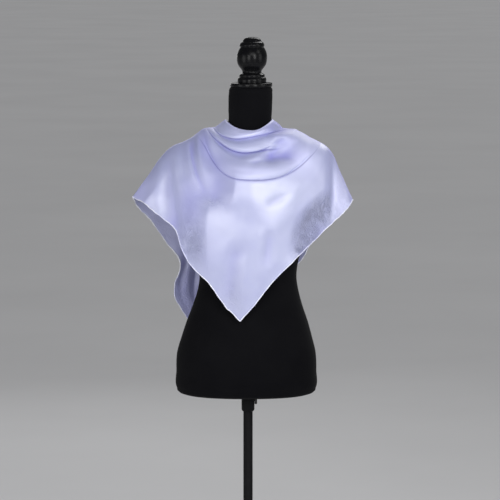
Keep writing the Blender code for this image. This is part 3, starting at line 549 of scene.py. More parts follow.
def front_lines(across):
    """The lines of the front, with the hem's outline worked into the lowest ones."""
    lines = {name: swag_line(swag, across) for name, swag in SWAGS.items()}
    outline = np.array(FRONT_HEM)
    plain = lines["hem"]
    shift_z = np.interp(plain[:, 0], outline[:, 0], outline[:, 1]) - plain[:, 2]
    shift_y = -np.interp(plain[:, 0], outline[:, 0], outline[:, 2]) - plain[:, 1]
    for name, share in HEM_SHIFT_UP.items():
        lines[name][:, 2] += share * shift_z
        lines[name][:, 1] += share * shift_y
    names = list(lines)
    for name, tuck in TUCKS.items():
        index = names.index(name)
        above, below = lines[names[index - 1]], lines[names[index + 2]]
        leave = names[index + 1]
        fade = closing(tuck, across)[:, None]
        lines[name] += fade * ((2 * above + below) / 3 - lines[name])
        lines[leave] += fade * ((above + 2 * below) / 3 - lines[leave])
    return np.stack(list(lines.values()))


def row_fractions(lines):
    """Where the cloth's rows lie, counted in lines: close together in the folds at the neck."""
    middle = lines[:, lines.shape[1] // 2]
    first_flat = list(SWAGS).index("chest")
    fractions = [0.0]
    for i, length in enumerate(np.linalg.norm(np.diff(middle, axis=0), axis=1)):
        spacing = FOLD_ROW_SPACING if i < first_flat else FLAT_ROW_SPACING
        steps = max(3, round(length / spacing))
        fractions += [i + (j + 1) / steps for j in range(steps)]
    return np.array(fractions)


def rows_below(rows, name):
    """How far each row lies below a line, counted in lines."""
    return rows - list(SWAGS).index(name)


def normals_of(points):
    down = np.gradient(points, axis=0)
    across = np.gradient(points, axis=1)
    return unit(np.cross(down, across))


def turned_out(normals, points):
    """The normals, each turned to the side away from the pole."""
    level = points * np.array([1, 1, 0])
    return normals * np.where((normals * level).sum(axis=-1, keepdims=True) < 0, -1, 1)


def bent_line(fold, count=16):
    """Points on the curve from a fold's start past its middle to its end."""
    t = np.linspace(0, 1, count)[:, None]
    start = np.array([[fold.x1, fold.z1]])
    middle = np.array([[fold.x2, fold.z2]])
    end = np.array([[fold.x3, fold.z3]])
    control = 2 * middle - (start + end) / 2
    return (1 - t) ** 2 * start + 2 * t * (1 - t) * control + t**2 * end


def beside(x, z, fold):
    """Each point's distance from a fold's curve, its side of it and its place along it."""
    line = bent_line(fold)
    nearest = np.full(x.shape, 1e9)
    side = np.zeros_like(x)
    along = np.zeros_like(x)
    for i in range(len(line) - 1):
        run = line[i + 1] - line[i]
        length = np.linalg.norm(run)
        run = run / length
        part = np.clip(((x - line[i, 0]) * run[0] + (z - line[i, 1]) * run[1]) / length, 0, 1)
        off_x = x - line[i, 0] - part * length * run[0]
        off_z = z - line[i, 1] - part * length * run[1]
        distance = np.hypot(off_x, off_z)
        closer = distance < nearest
        side = np.where(closer, np.sign(off_z * run[0] - off_x * run[1]), side)
        along = np.where(closer, (i + part) / (len(line) - 1), along)
        nearest = np.where(closer, distance, nearest)
    return nearest, side, along


def fold_reach(x, z, fold, end):
    """Each point's distance from a fold in its widths, and how fully the fold stands there."""
    nearest, side, along = beside(x, z, fold)
    width = np.where(side < 0, fold.left, fold.right)
    return nearest / width, smoothstep(along / FOLD_START) * smoothstep((1 - along) / end)


def spot(x, z, place):
    """From 1 in the middle of a place to 0 well beyond its width and height."""
    return np.exp(-(((x - place.x) / place.width) ** 2) - ((z - place.z) / place.height) ** 2)


def round_depth(x, z):
    """How far the round folds of the front move each of its points outwards."""
    total = np.zeros_like(x)
    for fold in ROUND_FOLDS.values():
        reach, stand = fold_reach(x, z, fold, ROUND_END)
        total += fold.depth * stand * np.exp(-(reach**2))
    return total


def level_depth(x, z, below):
    """How far the hollows, and below the swag the crisp folds and slopes, move each point."""
    total = np.zeros_like(x)
    for fold in CRISP_FOLDS.values():
        reach, stand = fold_reach(x, z, fold, CRISP_END)
        soft = np.sqrt(reach**2 + CREST**2) - CREST
        total += fold.depth * stand * np.clip(1 - soft, 0, 1) ** CRISPNESS
    for fold in SLOPES.values():
        nearest, side, along = beside(x, z, fold)
        drop = 1 - np.exp(-(nearest**2) / (nearest + SLOPE_SOFT) / fold.right)
        total -= fold.depth * np.sin(math.pi * along) ** SLOPE_FADE * drop * (side > 0)
    total *= below
    for hollow in HOLLOWS.values():
        total -= hollow.depth * spot(x, z, hollow)
    return total


def waves(points, wave):
    """How high small uneven waves stand at each point."""
    flat = points.reshape(-1, 3) / wave.size + np.array([wave.seed, wave.seed * 0.7, -wave.seed])
    values = [noise.noise(Vector(p)) for p in flat]
    return wave.height * np.array(values).reshape(points.shape[:-1])


def edge_curve(table, along):
    rows = np.array(table)
    return np.stack([smooth_column(rows, i)(along) for i in (1, 2, 3)], axis=-1)


def end_points(shoulder, folded_edge, hem, pleats, along):
    """An end of the scarf, from the shoulder line to its tip, with the front's rows."""
    inner = edge_curve(folded_edge, along)[None]
    outer = edge_curve(hem, along)[None]
    place = travelled(np.linalg.norm(np.diff(shoulder, axis=0), axis=1))
    place = (place / place[-1])[:, None, None]
    straight = inner[:, :1] + (outer[:, :1] - inner[:, :1]) * place
    kept = (1 - smoothstep(along / SHOULDER_KEPT))[None, :, None]
    points = inner + (outer - inner) * place + (shoulder[:, None] - straight) * kept
    depth = np.zeros(points.shape[:2])
    for pleat in pleats:
        bump = np.exp(-(((place[..., 0] - pleat.place) / pleat.width) ** 2))
        rise = smoothstep((along - pleat.start) / PLEAT_RISE)
        depth += pleat.depth * bump * rise * (1 - smoothstep((along - PLEAT_END) / PLEAT_FADE))
    normal = normals_of(points)
    normal *= np.where(normal[..., 1:2] < 0, -1, 1)
    return points + normal * depth[..., None]


def rest_on(points, tree, clearance):
    """Moves each point that is nearer the form than its clearance straight out to it."""
    for index in np.ndindex(points.shape[:2]):
        point = Vector(points[index])
        near, normal, _, distance = tree.find_nearest(point)
        height = math.copysign(distance, (point - near).dot(normal))
        if height < clearance:
            points[index] += np.array(normal) * (clearance - height)
    return points


def scarf_points(tree):
    """The whole scarf as one grid: rows from the folded edge to the hem, columns tip to tip."""
    across = np.linspace(-1, 1, FRONT_COLUMNS + 1)
    lines = front_lines(across)
    rows = row_fractions(lines)
    front = smooth_through(lines, rows)
    side_fade = smoothstep((1 - np.abs(across)) / SIDE_FADE)
    x, z = front[..., 0], front[..., 2]
    below = smoothstep(rows_below(rows, "swag_top") / BELOW_LINES)[:, None]
    depth = (round_depth(x, z) + level_depth(x, z, below)) * side_fade
    depth *= smoothstep(-front[..., 1] / SIDE_DEPTH)
    front[..., 1] -= depth * math.cos(CAMERA_PITCH)
    front[..., 2] += depth * math.sin(CAMERA_PITCH)
    along = np.linspace(0, 1, END_COLUMNS + 1)
    close = END_FIRST_STEP * END_COLUMNS
    along = close * along + (1 - close) * along**END_SPREAD
    left = end_points(front[:, 0], LEFT_FOLDED_EDGE, LEFT_BACK_HEM, LEFT_PLEATS, along)
    right = end_points(front[:, -1], RIGHT_FOLDED_EDGE, RIGHT_BACK_HEM, RIGHT_PLEATS, along)
    points = np.concatenate([left[:, :0:-1], front, right[:, 1:]], axis=1)
    points = soften_shoulders(points, (END_COLUMNS, END_COLUMNS + FRONT_COLUMNS))
    return rest_on(uneven(points), tree, SILK_REST)


def hollowness(points):
    """From 0 on the open silk to 1 deep in its folds."""
    smooth = points.copy()
    for _ in range(HOLLOW_ROUNDS):
        between = smooth.copy()
        between[1:-1] += (smooth[:-2] + smooth[2:]) / 2 - smooth[1:-1]
        between[:, 1:-1] += (smooth[:, :-2] + smooth[:, 2:]) / 2 - smooth[:, 1:-1]
        smooth = (smooth + between) / 2
    out = turned_out(normals_of(points), points)
    return np.clip(((smooth - points) * out).sum(axis=-1) / HOLLOW_FULL, 0, 1)


def silk_painted_shading_and_finish(points):
    """The shares of painted shade, painted light, crumpling and dullness at every point, by name."""
    x, y, z = points[..., 0], points[..., 1], points[..., 2]
    shares = {name: np.zeros(x.shape) for name in SILK_PAINTED_SHADING_AND_FINISH}
    for tones, there in ((FRONT_PAINTED_SHADING, y < 0), (END_PAINTED_SHADING, y > 0)):
        for tone in tones.values():
            share = spot(x, z, tone) * there
            for name in Tone._fields[4:]:
                shares[name] += getattr(tone, name) * share
    # Painted grey shade on the facet below the right slope, with a soft, ragged upper edge.
    nearest, side, along = beside(x, z, SLOPES["right_facet"])
    nearest = np.maximum(nearest + waves(points, FACET_RAGGED), 0)
    facet_painted_shade = smoothstep(nearest / FACET_SOFT) * np.exp(-((nearest / FACET_REACH) ** 4))
    facet_painted_shade *= smoothstep((FACET_END - x) / FACET_END_SOFT) * smoothstep(along / FACET_START)
    facet_painted_shade *= (side > 0) * (y < 0)
    shares["grey"] += FACET_PAINTED_SHADE * facet_painted_shade
    shares["crumple"] += facet_painted_shade
    across = np.linspace(-1, 1, FRONT_COLUMNS + 1)
    rows = row_fractions(front_lines(across))
    front = slice(END_COLUMNS, END_COLUMNS + FRONT_COLUMNS + 1)
    # Painted dark shade along each line where a fold turns under, while its tuck is open.
    for name, strength in CREASE_PAINTED_SHADE.items():
        open_here = 1 - closing(TUCKS[name.replace("leave", "tuck")], across)
        off = rows_below(rows, name) / CREASE_WIDTH
        shares["painted_crease_shade"][:, front] += strength * np.exp(-(off**2))[:, None] * open_here[None]
    shares["matt_and_painted_shade"][:, front] = 1 - smoothstep(rows_below(rows, "swag_leave") / MATT_END)[:, None]
    # A little painted violet shade in the duller silk above the third fold.
    shares["violet"] += MATT_PAINTED_SHADE * shares["matt_and_painted_shade"]
    # Painted light on the top rows at the neck's rolled edge, and no painted violet shade there.
    shares["pale"][:2, front] = 1
    shares["violet"][:2, front] = 0
    # Painted violet shade deep in the folds.
    shares["violet"] += HOLLOW_PAINTED_SHADE * hollowness(points)
    return {name: np.clip(share, 0, 1) for name, share in shares.items()}


def uneven(points):
    """Small uneven waves over the whole cloth."""
    height = sum(waves(points, wave) for wave in UNEVEN)
    down = unit(points[-1] - points[-4])
    ripple = waves(points[-1], HEM_RIPPLE)[:, None]
    for row, share in HEM_RIPPLE_ROWS:
        points[row] += down * ripple * share
    rows = np.linspace(0, 1, points.shape[0])[:, None]
    return points + normals_of(points) * (height * smoothstep(rows / 0.1))[..., None]


def soften_shoulders(points, shoulders, rounds=10, reach=7):
    """Smooths the rows where the cloth turns over the shoulders, but not at the hem's corners."""
    columns = np.arange(points.shape[1])
    near = np.zeros(points.shape[1])
    for shoulder in shoulders:
        near = np.maximum(near, 1 - smoothstep(np.abs(columns - shoulder) / reach))
    rows = np.linspace(0, 1, points.shape[0])
    share = 0.5 * near[None, :, None] * (1 - smoothstep((rows - 0.80) / 0.2))[:, None, None]
    for _ in range(rounds):
        between = points.copy()
        between[:, 1:-1] = (points[:, :-2] + points[:, 2:]) / 2
        points = points + share * (between - points)
    return points


def with_lip(points):
    """Adds the rolled fold at the neck: the silk turns over a small roll and goes down inside."""
    edge = points[0]
    down = unit(points[1] - points[0])
    out = turned_out(np.cross(down, unit(np.gradient(edge, axis=0))), edge)
    columns = np.arange(len(edge))
    fade = smoothstep(np.minimum(columns, columns[::-1]) / LIP_FADE_COLUMNS)[:, None]
    turn = [
        edge - (out * (1 + math.cos(a)) + down * math.sin(a)) * LIP_RADIUS * fade for a in LIP_TURNS
    ]
    inner = edge - out * 2 * LIP_RADIUS * fade
    inside = [inner + down * depth * fade for depth in LIP_DEPTHS]
    return np.concatenate([np.stack(inside + turn), points])


def scarf_uv(points):
    """Each point's place in the flat cut: a triangle below the folded edge, in metres."""
    travel = travelled(np.linalg.norm(np.diff(points, axis=1), axis=-1).mean(axis=0))
    u = (travel / travel[-1] * 2 - 1) * HALF_FOLDED
    place = travelled(np.linalg.norm(np.diff(points, axis=0), axis=-1).mean(axis=1))
    v = (place / place[-1])[:, None] * (HALF_FOLDED - np.abs(u))[None]
    return np.stack([np.broadcast_to(u, v.shape), v], axis=-1)


def hem_tube(name, path, normals, surface):
    """A rolled hem along a path: a thin roll, uneven and pinched in at each stitch."""
    travel = travelled(np.linalg.norm(np.diff(path, axis=0), axis=-1))
    places = np.arange(0, travel[-1], HEM_STEP)
    line, out = [
        np.stack([np.interp(places, travel, values[:, i]) for i in range(3)], axis=-1)
        for values in (path, normals)
    ]
    along = unit(np.gradient(line, axis=0))
    out = unit(out - along * (out * along).sum(axis=-1, keepdims=True))
    side = np.cross(along, out)
    phase = (places / STITCH_SPACING) % 1
    pinch = 1 - STITCH_PINCH * np.exp(-(((phase - 0.5) / STITCH_SHARE) ** 2))
    plump = np.array([noise.noise(Vector((p / HEM_PATCH, 3.1, 0))) for p in places])
    radius = HEM_RADIUS * pinch * (1 + HEM_UNEVEN * plump)
    angle = all_round(HEM_SIDES)[None, :, None]
    ring = out[:, None] * np.cos(angle) + side[:, None] * np.sin(angle)
    points = line[:, None] + ring * radius[:, None, None]
    return new_object(name, grid_mesh(name, points, closed_round=True, closed_ends=True), surface)


class Surface:
    """A Principled material and short ways to add nodes to it."""

    def __init__(self, name, colour, roughness, **values):
        self.material = bpy.data.materials.new(name)
        self.material.use_nodes = True
        self.tree = self.material.node_tree
        self.shader = self.tree.nodes["Principled BSDF"]
        self.set("Base Color", (*colour, 1.0))
        self.set("Roughness", roughness)
        for socket, value in values.items():
            self.set(socket.replace("_", " "), value)
        self.heights = []

    def set(self, socket, value):
        self.shader.inputs[socket].default_value = value

    def node(self, kind, **settings):
        made = self.tree.nodes.new(kind)
        for key, value in settings.items():
            socket = key.replace("_", " ")
            if socket in made.inputs:
                made.inputs[socket].default_value = value
            else:
                setattr(made, key, value)
        return made

    def link(self, start, end):
        self.tree.links.new(start, end)

    def place(self, kind="Object"):
        return self.node("ShaderNodeTexCoord").outputs[kind]

    def worked(self, source, socket, kind, **settings):
        made = self.node(kind, **settings)
        self.link(source, made.inputs[socket])
        return made.outputs[0]

    def mapped(self, source, scale, turn=(0, 0, 0)):
        return self.worked(source, "Vector", "ShaderNodeMapping", Scale=scale, Rotation=turn)

    def noise(self, source, scale, detail=2.0, roughness=0.5, distortion=0.0):
        return self.worked(
            source, "Vector", "ShaderNodeTexNoise",
            Scale=scale, Detail=detail, Roughness=roughness, Distortion=distortion,
        )

    def ranged(self, value, low, high, to_low, to_high, smooth=False):
        return self.worked(
            value, "Value", "ShaderNodeMapRange",
            interpolation_type="SMOOTHSTEP" if smooth else "LINEAR",
            From_Min=low, From_Max=high, To_Min=to_low, To_Max=to_high,
        )

    def mixed(self, factor, first, second):
        made = self.node("ShaderNodeMix", data_type="RGBA")
        for value, socket in ((first, 6), (second, 7)):
            if isinstance(value, tuple):
                made.inputs[socket].default_value = (*value, 1.0)
            else:
                self.link(value, made.inputs[socket])
        self.link(factor, made.inputs[0])
        return made.outputs[2]

    def reckoned(self, operation, first, second):
        made = self.node("ShaderNodeMath", operation=operation)
        self.link(first, made.inputs[0])
        self.link(second, made.inputs[1])
        return made.outputs[0]

    def drive(self, socket, value):
        self.link(value, self.shader.inputs[socket])

    def toned(self, value, low, high, first, second):
        """The base colour, from first to second as a value goes from low to high."""
        self.drive("Base Color", self.mixed(self.ranged(value, low, high, 0, 1), first, second))

    def bump(self, height, strength, distance):
        made = self.node("ShaderNodeBump", Strength=strength, Distance=distance)
        self.link(height, made.inputs["Height"])
        if self.heights:
            self.link(self.heights[-1], made.inputs["Normal"])
        self.heights.append(made.outputs["Normal"])
        self.drive("Normal", made.outputs["Normal"])


SILK_LIGHT = (0.39, 0.42, 0.645)
SILK_DEEP = (0.35, 0.375, 0.63)
SILK_WARP = (0.30, 0.31, 0.64)
# A grey painted shade.
SILK_PAINTED_GREY_SHADE = (0.245, 0.265, 0.47)
# A violet painted shade, for folds and shaded places.
SILK_PAINTED_VIOLET_SHADE = (0.22, 0.22, 0.62)
# A painted sheen: bluer and lighter where the silk turns away from the view.
SILK_PAINTED_EDGE_SHEEN = (0.41, 0.41, 0.88)
# Painted light.
SILK_PAINTED_LIGHT = (0.60, 0.62, 0.94)
# A dark painted shade for the lines where folds turn under.
SILK_PAINTED_CREASE_SHADE = (0.07, 0.07, 0.34)
# The square is folded on its diagonal, so its threads run at this turn to the folded edge.
ON_BIAS = (0, 0, math.radians(45))
CRUMPLE_RIDGE = 0.08
CRUMPLE_DEPTH = 0.022
# The hem's two pale colours are painted light: much paler than the silk, for the light its roll
# catches.
HEM_PAINTED_LIGHT = (0.90, 0.91, 0.98)
HEM_TWIST_PAINTED_LIGHT = (0.76, 0.78, 0.95)
HEM_SHADE = (0.42, 0.43, 0.80)


def silk():
    """Satin-faced silk: a broad soft gloss over lilac, with a fine weave laid on the bias; painted
    shade, painted light and a painted edge sheen are mixed into its colour.
    """
    made = Surface("lilac_silk", SILK_LIGHT, 0.43, Specular_IOR_Level=1.0, IOR=1.9,
                   Sheen_Weight=0.06, Sheen_Roughness=0.35)
    made.set("Sheen Tint", (0.86, 0.88, 1.0, 1.0))
    flat = made.place("UV")
    body = made.place()
    warp = made.mapped(flat, (2400, 24, 1), ON_BIAS)
    weft = made.mapped(flat, (30, 1900, 1), ON_BIAS)
    warp_lines = made.noise(warp, 1.0, 2.0, 0.6)
    weft_lines = made.noise(weft, 1.0, 2.0, 0.6)
    cloudy = made.noise(body, 9.0, 3.0, 0.55)
    tone = made.ranged(cloudy, 0.35, 0.65, 0.0, 1.0, smooth=True)
    colour = made.mixed(tone, SILK_LIGHT, SILK_DEEP)
    threads = made.ranged(warp_lines, 0.3, 0.7, 0.0, 0.16)
    colour = made.mixed(threads, colour, SILK_WARP)
    # Shares of painted shade, painted light, crumpling and dullness, read from the mesh.
    violet, grey, pale, crumpled, painted_crease_shade, matt_and_painted_shade = [
        made.node("ShaderNodeAttribute", attribute_name=name).outputs["Fac"] for name in SILK_PAINTED_SHADING_AND_FINISH
    ]
    facing = made.node("ShaderNodeLayerWeight", Blend=0.5).outputs["Facing"]
    # Painted light, painted violet shade, painted grey shade and painted crease shade, mixed into
    # the colour in turn.
    for share, most, shade in (
        (pale, 0.9, SILK_PAINTED_LIGHT),
        (violet, 0.9, SILK_PAINTED_VIOLET_SHADE),
        (grey, 0.9, SILK_PAINTED_GREY_SHADE),
        (painted_crease_shade, 0.95, SILK_PAINTED_CREASE_SHADE),
    ):
        colour = made.mixed(made.ranged(share, 0.0, 1.0, 0.0, most), colour, shade)
    # A painted sheen: the colour turns bluer and lighter where the silk faces away from the view.
    edge = made.ranged(facing, 0.5, 0.95, 0.0, 0.7, smooth=True)
    made.drive("Base Color", made.mixed(edge, colour, SILK_PAINTED_EDGE_SHEEN))
    dull = made.ranged(weft_lines, 0.3, 0.7, 0.40, 0.48)
    for share, most in ((violet, 0.22), (grey, 0.14), (matt_and_painted_shade, 0.14), (painted_crease_shade, 0.20)):
        dull = made.reckoned("ADD", dull, made.ranged(share, 0.0, 1.0, 0.0, most))
    made.drive("Roughness", dull)
    made.bump(warp_lines, 0.10, 0.0002)
    made.bump(weft_lines, 0.10, 0.0002)
    small = made.noise(body, 95.0, 3.0, 0.6, 0.8)
    made.bump(small, 0.05, 0.0012)
    lines = made.noise(body, 36.0, 4.0, 0.62, 1.4)
    ridges = made.node("ShaderNodeMath", operation="PINGPONG")
    ridges.inputs[1].default_value = CRUMPLE_RIDGE
    made.link(lines, ridges.inputs[0])
    made.bump(made.reckoned("MULTIPLY", ridges.outputs[0], crumpled), 1.0, CRUMPLE_DEPTH)
    return made.material


def silk_hem_painted_light():
    """The rolled edge: the same silk painted much paler, a painted highlight along the roll, with
    its roll's twist and sewing thread.
    """
    made = Surface("silk_hem_painted_light", (0.80, 0.82, 0.97), 0.42, Specular_IOR_Level=0.7, Sheen_Weight=0.25,
                   Sheen_Roughness=0.4)
    body = made.place()
    twist = made.noise(body, 900.0, 2.0, 0.6)
    patches = made.noise(body, 32.0, 3.0, 0.6)
    colour = made.mixed(made.ranged(twist, 0.3, 0.7, 0.0, 1.0), HEM_PAINTED_LIGHT, HEM_TWIST_PAINTED_LIGHT)
    shaded = made.ranged(patches, 0.42, 0.64, 0.0, 0.5, smooth=True)
    made.drive("Base Color", made.mixed(shaded, colour, HEM_SHADE))
    made.bump(twist, 0.25, 0.0003)
    return made.material


def jersey():
    """Black knitted cover: matt, with fine ribs of stitches running up the form."""
    made = Surface("black_jersey", (0.004, 0.004, 0.005), 0.85, Specular_IOR_Level=0.04,
                   Sheen_Weight=0.02, Sheen_Roughness=0.5)
    body = made.place()
    fine = made.noise(made.mapped(body, (900, 900, 420)), 1.0, 2.0, 0.6)
    cloudy = made.noise(body, 6.0, 4.0, 0.6)
    made.toned(cloudy, 0.35, 0.65, (0.003, 0.003, 0.004), (0.0045, 0.0045, 0.0055))
    made.drive("Roughness", made.ranged(fine, 0.3, 0.7, 0.78, 0.95))
    made.bump(fine, 0.35, 0.0006)
    return made.material


def lacquer():
    """Black lacquered wood: glossy, with faint turning marks."""
    made = Surface("black_lacquer", (0.004, 0.004, 0.005), 0.26, Specular_IOR_Level=0.12)
    body = made.place()
    turning = made.noise(made.mapped(body, (6, 6, 900)), 1.0, 2.0, 0.5)
    wear = made.noise(body, 60.0, 3.0, 0.6)
    made.toned(wear, 0.45, 0.75, (0.004, 0.004, 0.005), (0.007, 0.007, 0.007))
    made.drive("Roughness", made.ranged(wear, 0.3, 0.7, 0.22, 0.25))
    made.bump(turning, 0.03, 0.0001)
    return made.material


def steel():
    """Powder-coated steel: black, with a fine orange-peel grain."""
    made = Surface("black_steel", (0.006, 0.006, 0.007), 0.45, Specular_IOR_Level=0.07)
    body = made.place()
    grain = made.noise(body, 1400.0, 2.0, 0.6)
    wear = made.noise(body, 35.0, 4.0, 0.6)
    made.toned(wear, 0.5, 0.8, (0.006, 0.006, 0.007), (0.011, 0.011, 0.012))
    made.drive("Roughness", made.ranged(wear, 0.3, 0.7, 0.50, 0.66))
    made.bump(grain, 0.30, 0.0003)
    return made.material


def knob_plastic():
    """Moulded black plastic, fine grained."""
    made = Surface("black_plastic", (0.012, 0.012, 0.013), 0.5, Specular_IOR_Level=0.4)
    grain = made.noise(made.place(), 2200.0, 2.0, 0.6)
    made.drive("Roughness", made.ranged(grain, 0.3, 0.7, 0.42, 0.6))
    made.bump(grain, 0.2, 0.0002)
    return made.material


def floor_paint():
    made = Surface("pale_floor", (0.62, 0.62, 0.63), 0.85, Specular_IOR_Level=0.15)
    cloudy = made.noise(made.place(), 0.7, 4.0, 0.55)
    made.toned(cloudy, 0.3, 0.7, (0.60, 0.60, 0.61), (0.64, 0.64, 0.65))
    return made.material


def declare(piece, body, slot, *nodes):
    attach(piece, body)
    if nodes:
        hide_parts(*nodes)
    return piece


def build_stand(metal, plastic):
    base = lathe("stand_base", [
        (0.0, SOCKET_FLOOR),
        (POLE_RADIUS + GAP, SOCKET_FLOOR),
        (POLE_RADIUS + GAP, HUB_HEIGHT - 0.0008),
        (POLE_RADIUS + 3 * GAP, HUB_HEIGHT),
        (HUB_RADIUS - 0.003, HUB_HEIGHT),
        (HUB_RADIUS - 0.0012, HUB_HEIGHT - 0.0005),
        (HUB_RADIUS, HUB_HEIGHT - 0.003),
        (HUB_RADIUS, BASE_CROWN + 0.004),
        (HUB_RADIUS + 0.0015, BASE_CROWN + 0.0015),
        (HUB_RADIUS + 0.006, BASE_CROWN),
        (BASE_RADIUS - 0.012, BASE_RIM + 0.001),
        (BASE_RADIUS - 0.002, BASE_RIM),
        (BASE_RADIUS - 0.0005, BASE_RIM - 0.0005),
        (BASE_RADIUS, BASE_RIM - 0.0015),
        (BASE_RADIUS, 0.0),
        (0.0, 0.0),
    ], metal, steps=128)
    declare(base, "stand", "black_steel", "base")
    pole = lathe("stand_pole", [
        (0.0, POLE_TOP),
        (POLE_RADIUS - 0.001, POLE_TOP),
        (POLE_RADIUS, POLE_TOP - 0.001),
        (POLE_RADIUS, SOCKET_FLOOR + GAP),
        (0.0, SOCKET_FLOOR + GAP),
    ], metal)
    declare(pole, "stand", "black_steel", "pole")
    inner = POLE_RADIUS + GAP
    top = FORM_BOTTOM - GAP
    collar = lathe("stand_collar", [
        (inner, top),
        (COLLAR_RADIUS - 0.001, top),
        (COLLAR_RADIUS, top - 0.001),
        (COLLAR_RADIUS, COLLAR_BOTTOM + COLLAR_CHAMFER),
        (COLLAR_RADIUS - 0.0006, COLLAR_BOTTOM + COLLAR_CHAMFER - 0.0016),
        (COLLAR_RADIUS - 0.002, COLLAR_BOTTOM),
        (inner, COLLAR_BOTTOM),
        (inner, top),
    ], metal)
    declare(collar, "clamp", "black_steel", "collar")
    knob = lathe("thumb_knob", [
        (0.0, KNOB_END),
        (KNOB_RADIUS - 0.0030, KNOB_END),
        (KNOB_RADIUS - 0.0012, KNOB_END - 0.0004),
        (KNOB_RADIUS, KNOB_END - 0.0015),
        (KNOB_RADIUS, KNOB_START + 0.0012),
        (KNOB_RADIUS - 0.0008, KNOB_START + 0.0004),
        (KNOB_RADIUS - 0.0025, KNOB_START),
        (SCREW_RADIUS, KNOB_START),
        (SCREW_RADIUS, POLE_RADIUS + 2 * GAP),
        (0.0, POLE_RADIUS + 2 * GAP),
    ], plastic)
    for vertex in knob.data.vertices:
        radius = math.hypot(vertex.co.x, vertex.co.y)
        if radius > KNOB_RADIUS - 0.0005:
            wave = math.cos(KNOB_RIDGES * math.atan2(vertex.co.y, vertex.co.x))
            vertex.co.xy *= 1 - KNOB_GROOVE * (0.5 + 0.5 * wave)
    knob.rotation_euler.y = math.pi / 2
    knob.location.z = SCREW_HEIGHT
    declare(knob, "screw", "black_plastic", "thumb_screw")


def build_form(cover, wood):
    rings = form_rings()
    mesh = grid_mesh("form_torso", rings, closed_round=True, closed_ends=True)
    mesh.set_sharp_from_angle(angle=math.radians(60))
    torso = new_object("form_torso", mesh, cover)
    declare(torso, "form", "black_jersey", "torso")
    lower = [
        (CAP_RADIUS, CAP_EDGE),
        (CAP_RADIUS - CAP_EDGE * 0.3, CAP_EDGE * 0.3),
        (CAP_RADIUS - CAP_EDGE, 0.0),
        (0.0, 0.0),
    ]
    upper = [(radius, CAP_THICKNESS - height) for radius, height in reversed(lower)]
    cap = lathe("form_neck_cap", upper + lower, wood)
    cap.location = (CAP_MIDDLE, 0, FORM[-1].height + GAP)
    declare(cap, "form", "black_lacquer", "neck_cap")
    profile = rounded([(row.radius, row.height) for row in FINIAL])
    profile = [(0.0, FINIAL[0].height), *map(tuple, profile), (0.0, 0.0)]
    knob = lathe("form_finial", profile, wood, sharp=math.radians(75))
    knob.location = (FINIAL_MIDDLE, 0, FORM[-1].height + CAP_THICKNESS + 2 * GAP)
    declare(knob, "form", "black_lacquer", "finial")
    return torso


def build_scarf(torso, surface, edge_surface):
    tree = BVHTree.FromObject(torso, bpy.context.evaluated_depsgraph_get())
    points = scarf_points(tree)
    hem_line = points[-1].copy()
    hem_normals = normals_of(points)[-1]
    uv = scarf_uv(points)
    lipped = with_lip(points)
    extra = len(lipped) - len(points)
    uv = np.concatenate([np.repeat(uv[:1], extra, axis=0), uv])
    tones = silk_painted_shading_and_finish(points)
    mesh = grid_mesh("silk_scarf", lipped)
    layer = mesh.uv_layers.new(name="cut")
    index = np.empty(len(mesh.loops), int)
    mesh.loops.foreach_get("vertex_index", index)
    layer.data.foreach_set("uv", uv.reshape(-1, 2)[index].reshape(-1))
    for name, share in tones.items():
        # The rolled lip at the neck gets full painted light.
        lip = np.full((extra, share.shape[1]), 1.0 if name == "pale" else 0.0)
        whole = np.concatenate([lip, share])
        layer = mesh.attributes.new(name, "FLOAT", "POINT")
        layer.data.foreach_set("value", whole.reshape(-1).astype(np.float32))
    scarf = new_object("silk_scarf", mesh, surface)
    wall = scarf.modifiers.new("silk", "SOLIDIFY")
    wall.thickness = SILK_THICKNESS
    wall.offset = 1.0
    declare(scarf, "form", "lilac_silk", "scarf_front", "scarf_left_end", "scarf_right_end")
    centre = hem_line + hem_normals * SILK_THICKNESS / 2
    hem = hem_tube("silk_rolled_hem", centre, hem_normals, edge_surface)
    declare(hem, "form", "lilac_silk")


def area_light(name, place, aim, width, height, power):
    data = bpy.data.lights.new(name, "AREA")
    data.shape = "RECTANGLE"
    data.size = width
    data.size_y = height
    data.energy = power
    placed(name, data, place, (Vector(aim) - Vector(place)).to_track_quat("-Z", "Y").to_euler())


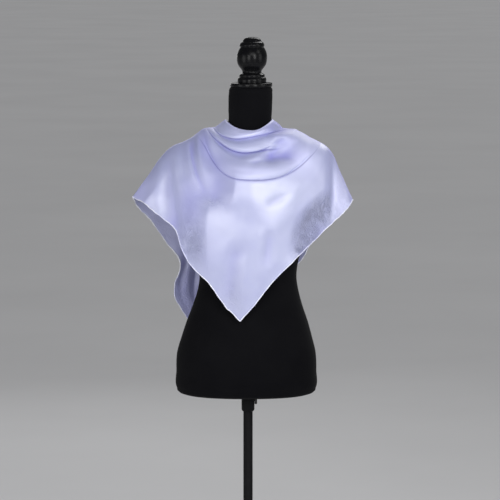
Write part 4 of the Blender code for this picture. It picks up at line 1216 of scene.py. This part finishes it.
FLOOR_HALF = 90.0
CHEST = (0.0, 0.0, 1.12)
SOFTBOX_ANGLE = math.radians(22)
SOFTBOX_REACH = 3.4
Lamp = namedtuple("Lamp", "name place aim width height power")
LAMPS = [Lamp(*row) for row in (
    ("key_light", (0.35, -3.2, 2.75), CHEST, 2.2, 1.2, 28.0),
    ("top_light", (2.1, -1.2, 3.1), (0.05, 0, 1.25), 0.9, 0.9, 8.0),
    ("left_fill", (-3.2, -1.6, 1.2), CHEST, 1.6, 1.8, 22.0),
    ("right_fill", (3.2, -1.4, 1.6), CHEST, 1.6, 1.8, 20.0),
    ("back_fill", (-1.0, 3.4, 2.1), (0, 0, 1.1), 1.8, 1.8, 12.0),
)]


def build_stage():
    mesh = bpy.data.meshes.new("floor")
    corners = [(x * FLOOR_HALF, y * FLOOR_HALF, 0) for x, y in ((-1, -1), (1, -1), (1, 1), (-1, 1))]
    mesh.from_pydata(corners, [], [(0, 1, 2, 3)])
    floor = new_object("floor", mesh, floor_paint())
    world = bpy.data.worlds.new("studio")
    bpy.context.scene.world = world
    world.use_nodes = True
    sky = world.node_tree.nodes["Background"].inputs
    sky["Color"].default_value = (0.97, 0.98, 1.0, 1.0)
    sky["Strength"].default_value = 0.12
    for side, power, height in ((-1, 31.0, 1.55), (1, 39.0, 1.75)):
        angle = SOFTBOX_ANGLE * side
        place = (SOFTBOX_REACH * math.sin(angle), -SOFTBOX_REACH * math.cos(angle), height)
        area_light("softbox", place, CHEST, 0.9, 1.6, power)
    for lamp in LAMPS:
        area_light(*lamp)
    sun = bpy.data.lights.new("floor_light", "SUN")
    sun.energy = 1.5
    sun.angle = math.radians(40)
    placed("floor_light", sun, turn=(math.radians(-48), 0, math.radians(-22)))


def build_camera():
    data = bpy.data.cameras.new("camera")
    data.sensor_width = 36.0
    data.lens = data.sensor_width / 2 * CAMERA_DISTANCE / VIEW_HALF
    back = -CAMERA_DISTANCE * math.cos(CAMERA_PITCH)
    height = VIEW_HEIGHT + CAMERA_DISTANCE * math.sin(CAMERA_PITCH)
    turn = (math.pi / 2 - CAMERA_PITCH, 0, 0)
    bpy.context.scene.camera = placed("camera", data, (VIEW_SIDE, back, height), turn)


def build():
    bpy.context.scene.view_settings.view_transform = "Standard"
    build_camera()
    build_stage()
    build_stand(steel(), knob_plastic())
    torso = build_form(jersey(), lacquer())
    build_scarf(torso, silk(), silk_hem_painted_light())


build()
